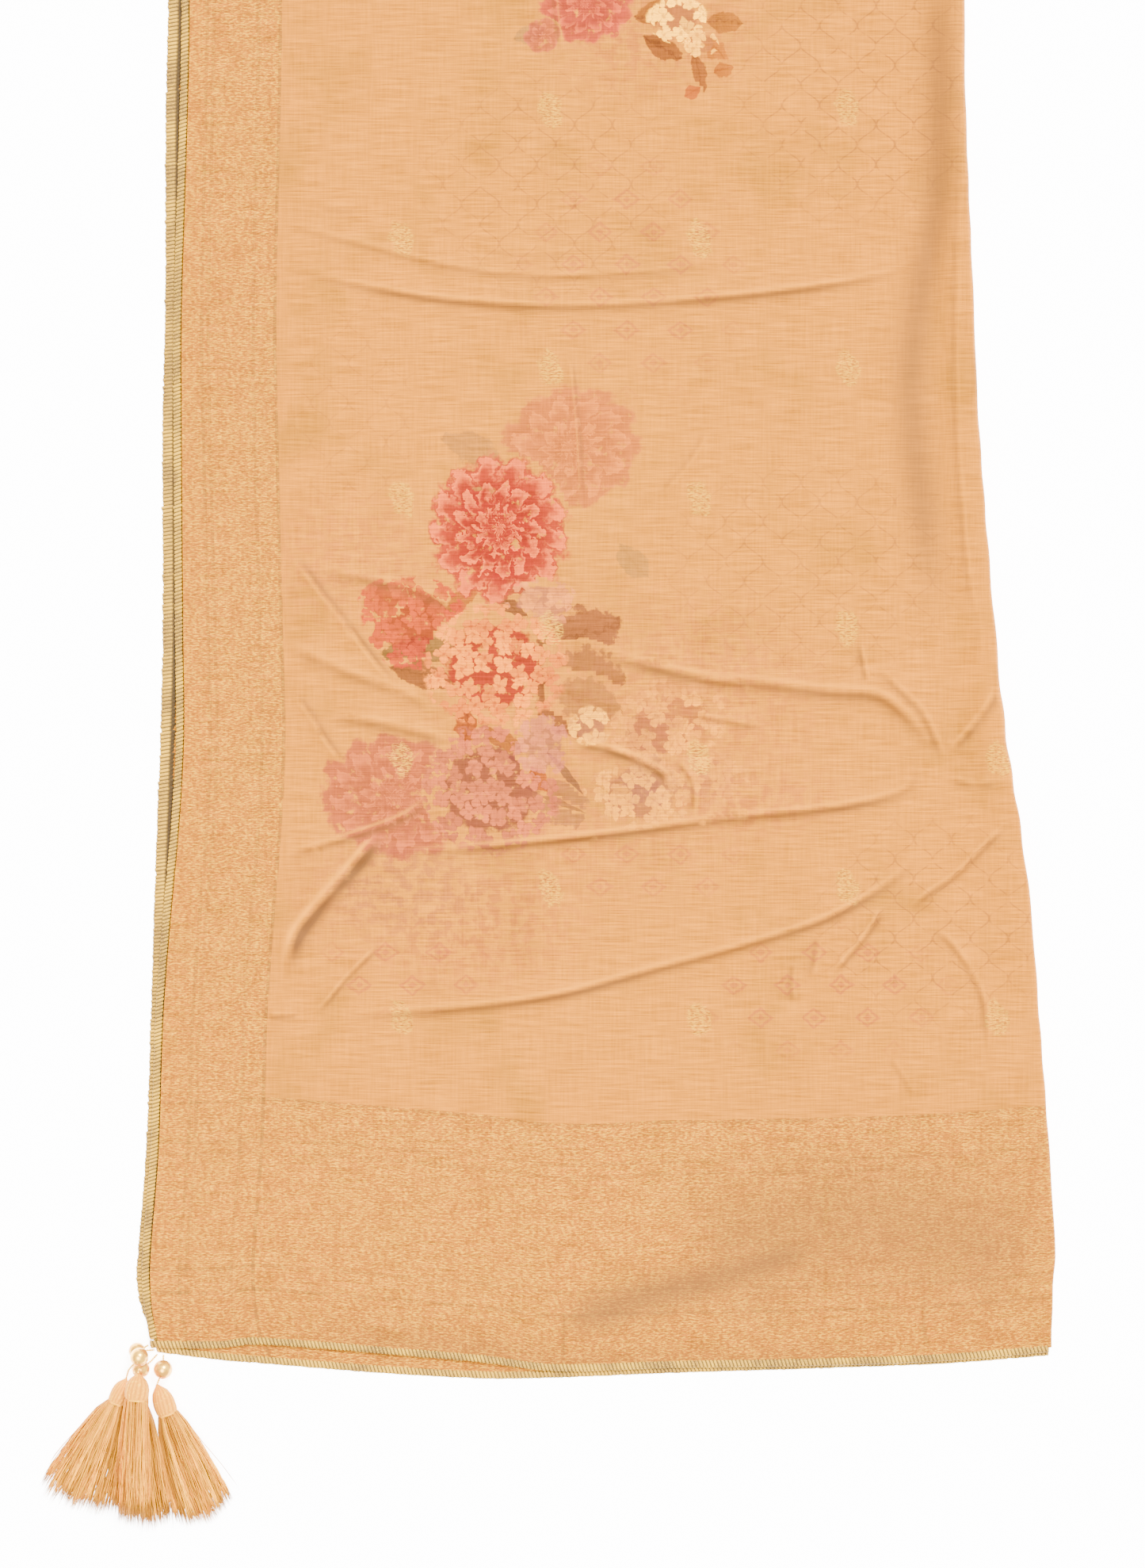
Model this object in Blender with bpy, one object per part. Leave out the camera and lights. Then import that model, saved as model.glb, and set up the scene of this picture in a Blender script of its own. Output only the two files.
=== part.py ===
"""Dupatta stole, laid flat and folded once along its length.

One long rectangle of woven cloth, folded so that both long edges lie together at -X and the soft
fold lies at +X. A thread-wrapped edging runs round the cut edges, and two tassels with a pearl bead
each hang from every corner, so each end of the folded stole has four of them.

Frame: +Y along the length, +X across, +Z up, metres. The floor is z = 0.
"""
import math
from collections import namedtuple

import bmesh
import bpy
from mathutils import Vector

MM = 0.001

# Cloth. The cut is 2.40 m by 0.92 m, and folded in half it lies 0.46 m wide.
LENGTH = 2400 * MM
WALL = 1.2 * MM
GAP = 0.3 * MM
TUCK = 14 * MM
FLAT_TOP = 2 * WALL + GAP
FLAT_COLUMNS = 12
ROLL_COLUMNS = (75 * MM, 50 * MM, 30 * MM, 15 * MM)
TURN_STEPS = 3
ROLL_WIDTH = 22 * MM
HEM_FADE = 160 * MM
LOWER_COLUMNS = 9
LOWER_CLEARANCE = 0.6 * MM

# Cross-sections stand closest at the rounded corners and in the creased near third: how far each
# spacing reaches from the near end.
Spacing = namedtuple("Spacing", "reach step")
SPACINGS = [
    Spacing(48, 8),
    Spacing(704, 16),
    Spacing(2240, 64),
    Spacing(2352, 28),
    Spacing(2400, 8),
]

# Edging. The lower ply shows the broad back of the stitching along its long side.
EDGING_WIDTH = 4 * MM
BAND_WIDTH = 8 * MM
LOWER_EDGING_HEIGHT = WALL
UPPER_EDGING_LOW = LOWER_EDGING_HEIGHT + GAP
UPPER_EDGING_HEIGHT = 1.8 * MM

# Six-sided outline of the edging: beside its middle, in half widths, and up, in heights.
EDGING_OUTLINE = ((1.0, 0.5), (0.6, 1.0), (-0.6, 1.0), (-1.0, 0.5), (-0.6, 0.0), (0.6, 0.0))

# Tassels and threads.
CORNER_X = -195.8 * MM
THREAD_RADIUS = 0.5 * MM
THREAD_SIDES = 5
LOCK_ROWS = 2
NEAR_LOCK_COLUMNS = 10
FAR_LOCK_COLUMNS = 7
LOCK_INSET = 0.12 * MM
STALK_RADIUS = 0.8 * MM
STALK_LENGTH = 0.8 * MM

# One row for each cross-section: distance from the near end, the outer side of the lower edging,
# the start of the upper ply's cloth, the fold, and the height of the soft roll at the fold (mm).
Section = namedtuple("Section", "station lower_edge upper_edge fold crest")
SECTIONS = [
    Section(0, -197.0, -195.6, 255.4, 2.9),
    Section(16, -204.0, -198.6, 255.6, 3.2),
    Section(32, -207.0, -199.8, 256.2, 3.6),
    Section(46, -206.2, -199.4, 257.2, 4.0),
    Section(98, -202.2, -195.4, 254.2, 4.6),
    Section(166, -199.8, -193.0, 249.0, 5.2),
    Section(218, -198.2, -189.0, 245.0, 6.0),
    Section(262, -196.6, -185.0, 239.4, 5.5),
    Section(306, -195.0, -182.6, 232.4, 7.5),
    Section(358, -193.8, -183.0, 227.0, 6.5),
    Section(466, -193.8, -183.8, 218.4, 7.0),
    Section(518, -192.6, -183.8, 216.2, 7.0),
    Section(626, -192.2, -180.6, 211.8, 8.0),
    Section(678, -191.0, -179.8, 211.4, 8.0),
    Section(900, -193.0, -182.0, 216.0, 7.0),
    Section(1200, -195.0, -184.0, 222.0, 6.0),
    Section(1500, -193.0, -182.0, 219.0, 7.0),
    Section(1800, -195.0, -185.0, 228.0, 6.0),
    Section(2050, -198.0, -189.0, 240.0, 6.0),
    Section(2250, -202.0, -195.0, 252.0, 5.0),
    Section(2340, -206.2, -199.4, 256.6, 4.0),
    Section(2384, -204.0, -198.6, 255.6, 3.2),
    Section(2400, -197.0, -195.6, 255.4, 2.9),
]

# How far the outer side of each ply's end edging hangs past the corner, across the width (mm).
Hem = namedtuple("Hem", "across upper lower")
HEMS = [
    Hem(-200.0, 1.5, 3.4),
    Hem(-163.8, 1.6, 8.0),
    Hem(-149.0, -0.2, 9.2),
    Hem(-114.6, 1.8, 12.0),
    Hem(-83.8, 4.4, 14.4),
    Hem(-32.2, 8.8, 17.2),
    Hem(4.2, 13.2, 16.8),
    Hem(64.2, 11.6, 14.4),
    Hem(140.6, 10.4, 12.0),
    Hem(201.8, 8.0, 9.6),
    Hem(258.0, 3.2, 5.2),
]

# One row for each large fold in the upper ply: its two ends (across, station), how far its middle
# bows towards the far end, its height and its half width (mm).
Fold = namedtuple("Fold", "x0 s0 x1 s1 bow height width")
FOLDS = [
    Fold(-136, 545, 197, 551, -24, 3.2, 9),
    Fold(-136, 567, 90, 544, -14, 2.0, 8),
    Fold(-130, 400, -75, 331, -4, 3.0, 8),
    Fold(-131, 353, -55, 320, 3, 2.6, 8),
    Fold(-127, 329, -47, 305, 4, 2.6, 8),
    Fold(20, 351, 201, 293, 12, 4.6, 9),
    Fold(166, 342, 202, 293, 4, 3.6, 8),
    Fold(203, 300, 227, 332, -2, 3.4, 8),
    Fold(-79, 248, 180, 280, -5, 5.0, 9),
    Fold(13, 304, 63, 279, 4, 3.4, 8),
    Fold(-131, 192, -85, 256, 3, 5.6, 9),
    Fold(-141, 166, 194, 255, -27, 5.4, 9),
    Fold(182, 218, 234, 264, 2, 3.2, 8),
    Fold(144, 187, 170, 221, 3, 3.6, 8),
    Fold(191, 212, 223, 149, 9, 3.4, 8),
    Fold(-117, 167, -84, 202, 3, 2.4, 8),
    Fold(-10, 20, 150, 36, 4, 3.0, 24),
    Fold(-150, 760, 120, 800, 18, 3.4, 12),
    Fold(-20, 960, 200, 905, -16, 4.0, 12),
    Fold(-160, 1130, 60, 1085, 14, 3.6, 12),
    Fold(-60, 1290, 210, 1335, 20, 4.2, 12),
    Fold(-150, 1480, 40, 1530, -16, 3.4, 12),
    Fold(10, 1690, 215, 1640, 14, 4.4, 12),
    Fold(-150, 1850, 130, 1890, 22, 4.4, 12),
    Fold(-40, 2060, 225, 2010, -15, 4.6, 12),
    Fold(-140, 2190, 120, 2225, 18, 4.0, 12),
]
FOLD_TAPER = 0.16

# Tassels at one corner, measured from it: the neck where the skirt starts, the way the skirt points
# (degrees from straight out, positive towards +X), the skirt's length and its half spread at the
# tips, the neck's and the tips' heights, the head's half sizes, and the bead's place and radius (mm).
Tassel = namedtuple(
    "Tassel",
    "name neck_x neck_out turn skirt spread neck_z tip_z half_across half_long half_high "
    "bead_x bead_out bead_z bead_radius",
)
TASSELS = [
    Tassel("left", -20.8, 28.6, -22.5, 57.5, 19.0, 4.4, 2.3, 4.8, 6.2, 4.0, -8.2, 4.4, 13.4, 4.6),
    Tassel("back", -8.8, 30.6, 2.5, 62.0, 13.0, 4.4, 2.3, 4.5, 6.0, 4.0, -10.3, 2.6, 4.6, 4.2),
    Tassel("right", 5.2, 34.2, 20.5, 58.0, 14.6, 4.4, 2.3, 5.6, 7.4, 4.0, 2.8, 11.8, 5.2, 4.8),
    Tassel("top", -9.6, 25.6, -3.7, 62.0, 8.6, 13.6, 6.9, 6.2, 6.2, 4.4, -8.2, 11.4, 6.4, 4.5),
]

# Gold threads at one corner, by tassel: the points that a thread passes from its corner of the
# edging to the bead, and from the tassel's head to the bead (mm from the corner, outwards, up).
CORNER_THREADS = {
    "left": ((-5.0, 0.0, 3.2), (-6.4, 0.4, 7.2)),
    "back": ((-2.1, 2.6, 0.9),),
    "right": ((2.6, 5.1, 0.9),),
    "top": ((-0.5, 4.8, 0.9), (-3.5, 8.0, 3.0)),
}
NECK_THREADS = {
    "left": ((-14.0, 11.5, 9.5),),
    "back": ((-9.2, 15.4, 1.1), (-9.4, 9.0, 1.0), (-9.8, 6.9, 1.6)),
    "right": (),
    "top": ((-8.6, 11.8, 12.2),),
}
HEAD_PROFILE = ((0.10, 0.90), (0.42, 1.0), (0.78, 0.74), (1.0, 0.20))


def smooth(value):
    """Ease from 0 to 1, flat at both ends."""
    value = min(max(value, 0.0), 1.0)
    return value * value * (3.0 - 2.0 * value)


def read_table(rows, key, column, place):
    """Read a table's column at a place on its key column, along a smooth curve through the rows."""
    knots = [getattr(row, key) for row in rows]
    values = [getattr(row, column) for row in rows]
    place = min(max(place / MM, knots[0]), knots[-1])
    right = next(i for i in range(1, len(knots)) if place <= knots[i])
    slopes = []
    for i in (right - 1, right):
        low, high = max(i - 1, 0), min(i + 1, len(knots) - 1)
        slopes.append((values[high] - values[low]) / (knots[high] - knots[low]))
    span = knots[right] - knots[right - 1]
    t = (place - knots[right - 1]) / span
    rise = values[right] - values[right - 1]
    start_bend = slopes[0] * span - rise
    end_bend = rise - slopes[1] * span
    curve = values[right - 1] + t * rise + t * (1 - t) * ((1 - t) * start_bend + t * end_bend)
    return curve * MM


def section(column, station):
    return read_table(SECTIONS, "station", column, station)


def hem_drop(ply, across):
    return read_table(HEMS, "across", ply, across)


def length_place(ply, across, station):
    """Place along +Y of a point of a ply, with its ends drawn out to the curved hems."""
    inside_edging = hem_drop(ply, across) - EDGING_WIDTH - GAP
    near = (1 - smooth(station / HEM_FADE)) * inside_edging
    far = (1 - smooth((LENGTH - station) / HEM_FADE)) * inside_edging
    return station - LENGTH / 2 - near + far


def fold_height(across, station):
    """Height that the upper ply's folds add at a point of the cloth."""
    total = 0.0
    for fold in FOLDS:
        start = Vector((fold.x0, fold.s0)) * MM
        run = Vector((fold.x1 - fold.x0, fold.s1 - fold.s0)) * MM
        offset = Vector((across, station)) - start
        t = offset.dot(run) / run.length_squared
        if not 0.0 < t < 1.0:
            continue
        away = (run.x * offset.y - run.y * offset.x) / run.length
        away -= 4 * fold.bow * MM * t * (1 - t)
        ends = smooth(t / FOLD_TAPER) * smooth((1 - t) / FOLD_TAPER)
        total += fold.height * MM * ends * math.exp(-((away / (fold.width * MM)) ** 2))
    return total


def material(name, hex_colour, roughness, metallic=0.0):
    """Plain Principled material of an sRGB colour."""
    channels = [int(hex_colour[i : i + 2], 16) / 255 for i in (1, 3, 5)]
    linear = [c / 12.92 if c <= 0.04045 else ((c + 0.055) / 1.055) ** 2.4 for c in channels]
    made = bpy.data.materials.new(name)
    made.use_nodes = True
    shader = made.node_tree.nodes["Principled BSDF"]
    shader.inputs["Base Color"].default_value = (*linear, 1.0)
    shader.inputs["Roughness"].default_value = roughness
    shader.inputs["Metallic"].default_value = metallic
    return made


def add_object(name, bm, finish):
    """Turn a bmesh into a smooth-shaded object with one material."""
    mesh = bpy.data.meshes.new(name)
    bm.to_mesh(mesh)
    bm.free()
    mesh.shade_smooth()
    mesh.materials.append(finish)
    made = bpy.data.objects.new(name, mesh)
    bpy.context.scene.collection.objects.link(made)
    return made


def stations():
    """Stations from the near end to the far end, as close together as the table of spacings says."""
    places = [0.0]
    for spacing in SPACINGS:
        start = places[-1]
        span = spacing.reach * MM - start
        count = round(span / (spacing.step * MM))
        places += [start + span * (i + 1) / count for i in range(count)]
    return places


def draped_grid(name, columns, rows, place, finish):
    """Wall of cloth: a grid whose points are placed by a function, thickened inwards."""
    bm = bmesh.new()
    bmesh.ops.create_grid(bm, x_segments=columns, y_segments=rows, size=0.5)
    for vert in bm.verts:
        column = round((vert.co.x + 0.5) * columns)
        row = round((vert.co.y + 0.5) * rows)
        vert.co = place(column, row)
    made = add_object(name, bm, finish)
    wall = made.modifiers.new("wall", "SOLIDIFY")
    wall.thickness = WALL
    wall.offset = -1.0
    wall.use_rim = True
    return made


def upper_columns(station):
    """Places across the upper ply from its edge to where the roll at the fold turns down."""
    edge, fold = section("upper_edge", station), section("fold", station)
    flat_width = fold - ROLL_COLUMNS[0] - edge
    flat = [edge + flat_width * i / FLAT_COLUMNS for i in range(FLAT_COLUMNS)]
    return flat + [fold - away for away in ROLL_COLUMNS]


def lower_columns(station):
    """Places across the lower ply, between its edging and the tucked end of the upper ply."""
    start = section("lower_edge", station) + BAND_WIDTH + GAP
    end = section("fold", station) - TUCK - LOWER_CLEARANCE
    return [start + (end - start) * i / LOWER_COLUMNS for i in range(LOWER_COLUMNS + 1)]


def upper_ply(finish):
    """Ply that shows: over the lower one, round the soft fold and a little way under."""
    rows = stations()
    turn_start = FLAT_COLUMNS + len(ROLL_COLUMNS)

    def place(column, row):
        station = rows[row]
        fold, crest = section("fold", station), section("crest", station)
        radius = crest / 2
        fold_y = length_place("upper", fold, station)
        if column > turn_start + TURN_STEPS:
            return Vector((fold - TUCK, fold_y, 0.0))
        if column >= turn_start:
            angle = math.pi / 2 - math.pi * (column - turn_start) / TURN_STEPS
            across = fold - radius + radius * math.cos(angle)
            return Vector((across, fold_y, radius + radius * math.sin(angle)))
        across = upper_columns(station)[column]
        rise = smooth((across - (fold - radius - ROLL_WIDTH)) / ROLL_WIDTH)
        height = FLAT_TOP + (crest - FLAT_TOP) * rise + fold_height(across, station) * (1 - rise)
        return Vector((across, length_place("upper", across, station), height))

    return draped_grid("cloth_upper", turn_start + TURN_STEPS + 1, len(rows) - 1, place, finish)


def lower_ply(finish):
    """Hidden ply, flat on the floor."""
    rows = stations()[::2]

    def place(column, row):
        across = lower_columns(rows[row])[column]
        return Vector((across, length_place("lower", across, rows[row]), WALL))

    return draped_grid("cloth_lower", LOWER_COLUMNS, len(rows) - 1, place, finish)


def loft(name, rings, finish):
    """Skin closed rings of points one after another, and close both ends."""
    bm = bmesh.new()
    loops = []
    for ring in rings:
        verts = [bm.verts.new(point) for point in ring]
        loops.append([bm.edges.new((verts[i - 1], verts[i])) for i in range(len(verts))])
    for first, second in zip(loops, loops[1:]):
        bmesh.ops.bridge_loops(bm, edges=first + second)
    for end in (loops[0], loops[-1]):
        bmesh.ops.holes_fill(bm, edges=end, sides=0)
    bmesh.ops.recalc_face_normals(bm, faces=bm.faces)
    return add_object(name, bm, finish)


def long_edging(name, ply, rows, inset, width, low, height, finish):
    """Edging down the long side of a ply, its middle inset from the ply's line in the sections."""
    rings = []
    for station in rows:
        middle = section(ply + "_edge", station) + inset
        ring = []
        for beside, up in EDGING_OUTLINE:
            across = middle + beside * width / 2
            ring.append(Vector((across, length_place(ply, across, station), low + height * up)))
        rings.append(ring)
    return loft(name, rings, finish)


def end_edging(name, ply, end, corner, columns, low, height, finish):
    """Edging across one end of a ply, from its corner to the fold; end is -1 near, +1 far."""
    stop = section("fold", 0) - EDGING_WIDTH / 2
    rings = []
    for across in [corner] + [place for place in columns if place < stop] + [stop]:
        ring = []
        for beside, up in EDGING_OUTLINE:
            outwards = hem_drop(ply, across) - EDGING_WIDTH / 2 * (1 - beside)
            ring.append(Vector((across, end * (LENGTH / 2 + outwards), low + height * up)))
        rings.append(ring)
    return loft(name, rings, finish)


def corner_point(across, outwards, up, end):
    """Point given from a corner of the cloth, in mm, at the near (-1) or far (+1) end."""
    return Vector((CORNER_X + across * MM, end * (LENGTH / 2 + outwards * MM), up * MM))


def tassel_axes(row, end):
    """A tassel's neck, the way its skirt points and the way across it."""
    turn = math.radians(row.turn)
    out = Vector((math.sin(turn), end * math.cos(turn), 0.0))
    side = Vector((math.cos(turn), -end * math.sin(turn), 0.0))
    return corner_point(row.neck_x, row.neck_out, row.neck_z, end), out, side


def tassel(name, row, end, columns, finish):
    """Head with a stalk and a skirt of locks, each lock drawn out of its own face of the neck."""
    neck, out, side = tassel_axes(row, end)
    half_across, half_high = row.half_across * MM, row.half_high * MM
    head_long = 2 * row.half_long * MM

    def at(along, across, up):
        return neck + out * along + side * across + Vector((0, 0, up))

    bm = bmesh.new()
    bmesh.ops.create_grid(bm, x_segments=columns, y_segments=LOCK_ROWS, size=1.0)
    spots = {vert: vert.co.copy() for vert in bm.verts}
    roots = list(bm.faces)
    for vert, spot in spots.items():
        vert.co = at(0.0, spot.x * half_across * 0.74, spot.y * half_high * 0.62)

    rim = [edge for edge in bm.edges if edge.is_boundary]
    angles = {vert: math.atan2(spots[vert].y, 2 * spots[vert].x) for edge in rim for vert in edge.verts}
    for part_way, scale in HEAD_PROFILE + ((1.0 + STALK_LENGTH / head_long, 0.12),):
        grown = bmesh.ops.extrude_edge_only(bm, edges=rim)["geom"]
        fresh = [item for item in grown if isinstance(item, bmesh.types.BMVert)]
        rim = [item for item in grown if isinstance(item, bmesh.types.BMEdge)]
        rim = [edge for edge in rim if edge.is_boundary]
        nearest = {}
        for vert in fresh:
            nearest[vert] = min(angles, key=lambda old: (old.co - vert.co).length)
        angles = {vert: angles[old] for vert, old in nearest.items()}
        for vert, angle in angles.items():
            across = max(half_across * scale, STALK_RADIUS) * math.cos(angle)
            up = max(half_high * scale, STALK_RADIUS) * math.sin(angle)
            vert.co = at(-head_long * part_way, across, up)
    bmesh.ops.holes_fill(bm, edges=rim, sides=0)

    inset = bmesh.ops.inset_individual(bm, faces=roots, thickness=LOCK_INSET)
    locks = {}
    for face in roots:
        centre = face.calc_center_median() - neck
        locks[face] = (centre.dot(side) / (half_across * 0.74), centre.z / (half_high * 0.62))
    tips = roots
    for part_way in (0.45, 1.0):
        drawn = bmesh.ops.extrude_discrete_faces(bm, faces=tips)["faces"]
        locks = {new: locks[old] for old, new in zip(tips, drawn)}
        for face in drawn:
            across, up = locks[face]
            reach = row.skirt * MM * part_way * (1 - 0.05 * across * across + 0.02 * math.cos(9 * across))
            spread = half_across * 0.74 + (row.spread * MM - half_across * 0.74) * part_way ** 0.8
            level = (row.tip_z - row.neck_z) * MM * part_way
            half_wide = spread / columns * 0.86
            half_thick = (0.62 * half_high / 2) * (1 - part_way) + 0.75 * MM * part_way
            middle = up * ((0.62 * half_high) * (1 - part_way) + 2.1 * MM * part_way)
            face_centre = face.calc_center_median()
            for vert in face.verts:
                corner = vert.co - face_centre
                wide = math.copysign(half_wide, corner.dot(side))
                thick = math.copysign(half_thick, corner.z)
                vert.co = at(reach, across * spread + wide, level + middle + thick)
        tips = drawn
    bmesh.ops.recalc_face_normals(bm, faces=bm.faces)
    return add_object(name, bm, finish)


def bead(name, row, end, finish):
    """Pearl bead above a tassel."""
    bm = bmesh.new()
    bmesh.ops.create_icosphere(bm, subdivisions=2, radius=row.bead_radius * MM)
    centre = corner_point(row.bead_x, row.bead_out, row.bead_z, end)
    bmesh.ops.translate(bm, verts=bm.verts, vec=centre)
    return add_object(name, bm, finish)


def thread_to_bead(name, path, row, end, finish):
    """Gold thread along a path that ends just clear of the bead's surface."""
    centre = corner_point(row.bead_x, row.bead_out, row.bead_z, end)
    back = (path[-1] - centre).normalized()
    path = path + [centre + back * (row.bead_radius * MM + GAP)]
    rings = []
    for i, point in enumerate(path):
        run = (path[min(i + 1, len(path) - 1)] - path[max(i - 1, 0)]).normalized()
        side = run.cross(Vector((0.3, 0.1, 1.0))).normalized()
        other = run.cross(side)
        ring = []
        for j in range(THREAD_SIDES):
            angle = 2 * math.pi * j / THREAD_SIDES
            ring.append(point + (side * math.cos(angle) + other * math.sin(angle)) * THREAD_RADIUS)
        rings.append(ring)
    return loft(name, rings, finish)


def clear_scene():
    for item in list(bpy.data.objects):
        bpy.data.objects.remove(item, do_unlink=True)


def build_corner(end, end_name, columns, finishes):
    """Four tassels at one end's corner, each with its bead and its two lengths of thread."""
    for row in TASSELS:
        neck, out, _side = tassel_axes(row, end)
        tassel(f"tassel_{end_name}_{row.name}", row, end, columns, finishes["tassel"])
        bead(f"bead_{end_name}_{row.name}", row, end, finishes["pearl"])
        from_corner = [corner_point(*point, end) for point in CORNER_THREADS[row.name]]
        thread_to_bead(f"thread_{end_name}_{row.name}_corner", from_corner, row, end, finishes["zari"])
        stalk_tip = neck - out * (2 * row.half_long * MM + STALK_LENGTH + GAP + THREAD_RADIUS)
        from_head = [stalk_tip] + [corner_point(*point, end) for point in NECK_THREADS[row.name]]
        thread_to_bead(f"thread_{end_name}_{row.name}_neck", from_head, row, end, finishes["zari"])


def build():
    clear_scene()
    cloth = material("silk_blend", "#EDBE86", 0.5)
    wrapped = material("edging_thread", "#B39A6C", 0.55)
    finishes = {
        "tassel": material("tassel_thread", "#F2BC78", 0.6),
        "zari": material("gold_zari_thread", "#D9B44A", 0.35, 0.8),
        "pearl": material("pearl_bead", "#D9AE62", 0.25, 0.3),
    }

    upper_ply(cloth)
    lower_ply(cloth)
    upper_level = (UPPER_EDGING_LOW, UPPER_EDGING_HEIGHT, wrapped)
    lower_level = (0.0, LOWER_EDGING_HEIGHT, wrapped)
    rows, inset = stations(), -EDGING_WIDTH / 2 - GAP
    long_edging("edging_upper_long", "upper", rows, inset, EDGING_WIDTH, *upper_level)
    long_edging("edging_lower_long", "lower", rows[::2], BAND_WIDTH / 2, BAND_WIDTH, *lower_level)
    upper_corner = section("upper_edge", 0) - EDGING_WIDTH - GAP
    lower_corner = section("lower_edge", 0)
    for end, end_name, lock_columns in ((-1, "near", NEAR_LOCK_COLUMNS), (1, "far", FAR_LOCK_COLUMNS)):
        name = f"edging_upper_{end_name}"
        end_edging(name, "upper", end, upper_corner, upper_columns(0), *upper_level)
        name = f"edging_lower_{end_name}"
        end_edging(name, "lower", end, lower_corner, lower_columns(0), *lower_level)
        build_corner(end, end_name, lock_columns, finishes)


build()
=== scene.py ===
"""Looks for a dupatta stole, laid flat and folded once along its length.

Each piece lies on the frame's own solid and stands for it: the cloth with its creases, woven gold
borders and printed flowers, the thread-wrapped edging, the tassels, and the pearl beads on gold
thread. Frame: +Y along the length, +X across, +Z up, metres. The floor is z = 0.
"""
import math
from collections import namedtuple
from functools import partial

import bmesh
import bpy
import numpy as np
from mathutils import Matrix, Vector


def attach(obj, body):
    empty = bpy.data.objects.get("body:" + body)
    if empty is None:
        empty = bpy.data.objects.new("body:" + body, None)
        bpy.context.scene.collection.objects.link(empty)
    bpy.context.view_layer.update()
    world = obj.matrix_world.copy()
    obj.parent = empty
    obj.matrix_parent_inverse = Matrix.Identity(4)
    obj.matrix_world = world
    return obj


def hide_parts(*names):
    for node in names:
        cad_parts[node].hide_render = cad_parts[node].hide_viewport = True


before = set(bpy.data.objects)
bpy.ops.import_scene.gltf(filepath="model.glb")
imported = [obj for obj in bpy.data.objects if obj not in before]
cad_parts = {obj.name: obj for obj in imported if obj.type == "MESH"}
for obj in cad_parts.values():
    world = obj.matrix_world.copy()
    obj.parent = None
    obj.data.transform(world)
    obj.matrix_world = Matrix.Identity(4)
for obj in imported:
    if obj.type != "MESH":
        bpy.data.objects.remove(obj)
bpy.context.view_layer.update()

bl_info = {
    "name": "Dupatta stole",
    "version": (1, 0, 0),
    "blender": (4, 5, 0),
    "location": "View3D > Sidebar > Stole",
    "description": "Dresses a folded dupatta stole: cloth, edging, tassels, beads and stage",
    "category": "Object",
}

MM = 0.001

# Cloth, as in the solids: the cut is 2.40 m by 0.92 m, folded once along its length.
LENGTH = 2400 * MM
WALL = 1.2 * MM
GAP = 0.3 * MM
FLAT_TOP = 2 * WALL + GAP
ROLL_WIDTH = 22 * MM
HEM_FADE = 160 * MM
EDGING_WIDTH = 4 * MM
BAND_WIDTH = 8 * MM
LOWER_EDGING_HEIGHT = WALL
UPPER_EDGING_LOW = LOWER_EDGING_HEIGHT + GAP
UPPER_EDGING_HEIGHT = 1.8 * MM
CORNER_X = -195.8 * MM
HEM_TUCK = 1.6 * MM
LOWER_TUCK = 1.5 * MM
# The soft swell of loose cloth dies out towards the edge, the ends and the fold, and dips no lower
# than the lower ply lets it. The lower ply's sheet lies in the middle of its wall.
SWELL = 0.38 * MM
EDGE_CALM = 12 * MM
HEM_CALM = 10 * MM
HEM_LIFT = 0.25
ROLL_CALM = 0.6
DEEPEST_DIP = 0.9 * MM
LOWER_HEIGHT = 0.75 * MM
# The left border rolls under its edging less near the end: how far it drifts, from where, over what
# length, and how far out its stripes start.
BORDER_DRIFT = 6.0 * MM
DRIFT_START = 126 * MM
DRIFT_LENGTH = 552 * MM
BORDER_OUT = 2.4 * MM

# One row for each cross-section: distance from the near end, the outer side of the lower edging,
# the start of the upper ply's cloth, the fold, and the height of the soft roll at the fold (mm).
Section = namedtuple("Section", "station lower_edge upper_edge fold crest")
SECTIONS = [Section(*row) for row in (
    (0, -197.0, -195.6, 255.4, 2.9),
    (16, -204.0, -198.6, 255.6, 3.2),
    (32, -207.0, -199.8, 256.2, 3.6),
    (46, -206.2, -199.4, 257.2, 4.0),
    (98, -202.2, -195.4, 254.2, 4.6),
    (166, -199.8, -193.0, 249.0, 5.2),
    (218, -198.2, -189.0, 245.0, 6.0),
    (262, -196.6, -185.0, 239.4, 5.5),
    (306, -195.0, -182.6, 232.4, 7.5),
    (358, -193.8, -183.0, 227.0, 6.5),
    (466, -193.8, -183.8, 218.4, 7.0),
    (518, -192.6, -183.8, 216.2, 7.0),
    (626, -192.2, -180.6, 211.8, 8.0),
    (678, -191.0, -179.8, 211.4, 8.0),
    (900, -193.0, -182.0, 216.0, 7.0),
    (1200, -195.0, -184.0, 222.0, 6.0),
    (1500, -193.0, -182.0, 219.0, 7.0),
    (1800, -195.0, -185.0, 228.0, 6.0),
    (2050, -198.0, -189.0, 240.0, 6.0),
    (2250, -202.0, -195.0, 252.0, 5.0),
    (2340, -206.2, -199.4, 256.6, 4.0),
    (2384, -204.0, -198.6, 255.6, 3.2),
    (2400, -197.0, -195.6, 255.4, 2.9),
)]

# How far the outer side of each ply's end edging hangs past the corner, across the width (mm).
Hem = namedtuple("Hem", "across upper lower")
HEMS = [Hem(*row) for row in (
    (-200.0, 1.5, 3.4),
    (-163.8, 1.6, 8.0),
    (-149.0, -0.2, 9.2),
    (-114.6, 1.8, 12.0),
    (-83.8, 4.4, 14.4),
    (-32.2, 8.8, 17.2),
    (4.2, 13.2, 16.8),
    (64.2, 11.6, 14.4),
    (140.6, 10.4, 12.0),
    (201.8, 8.0, 9.6),
    (258.0, 3.2, 5.2),
)]

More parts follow.
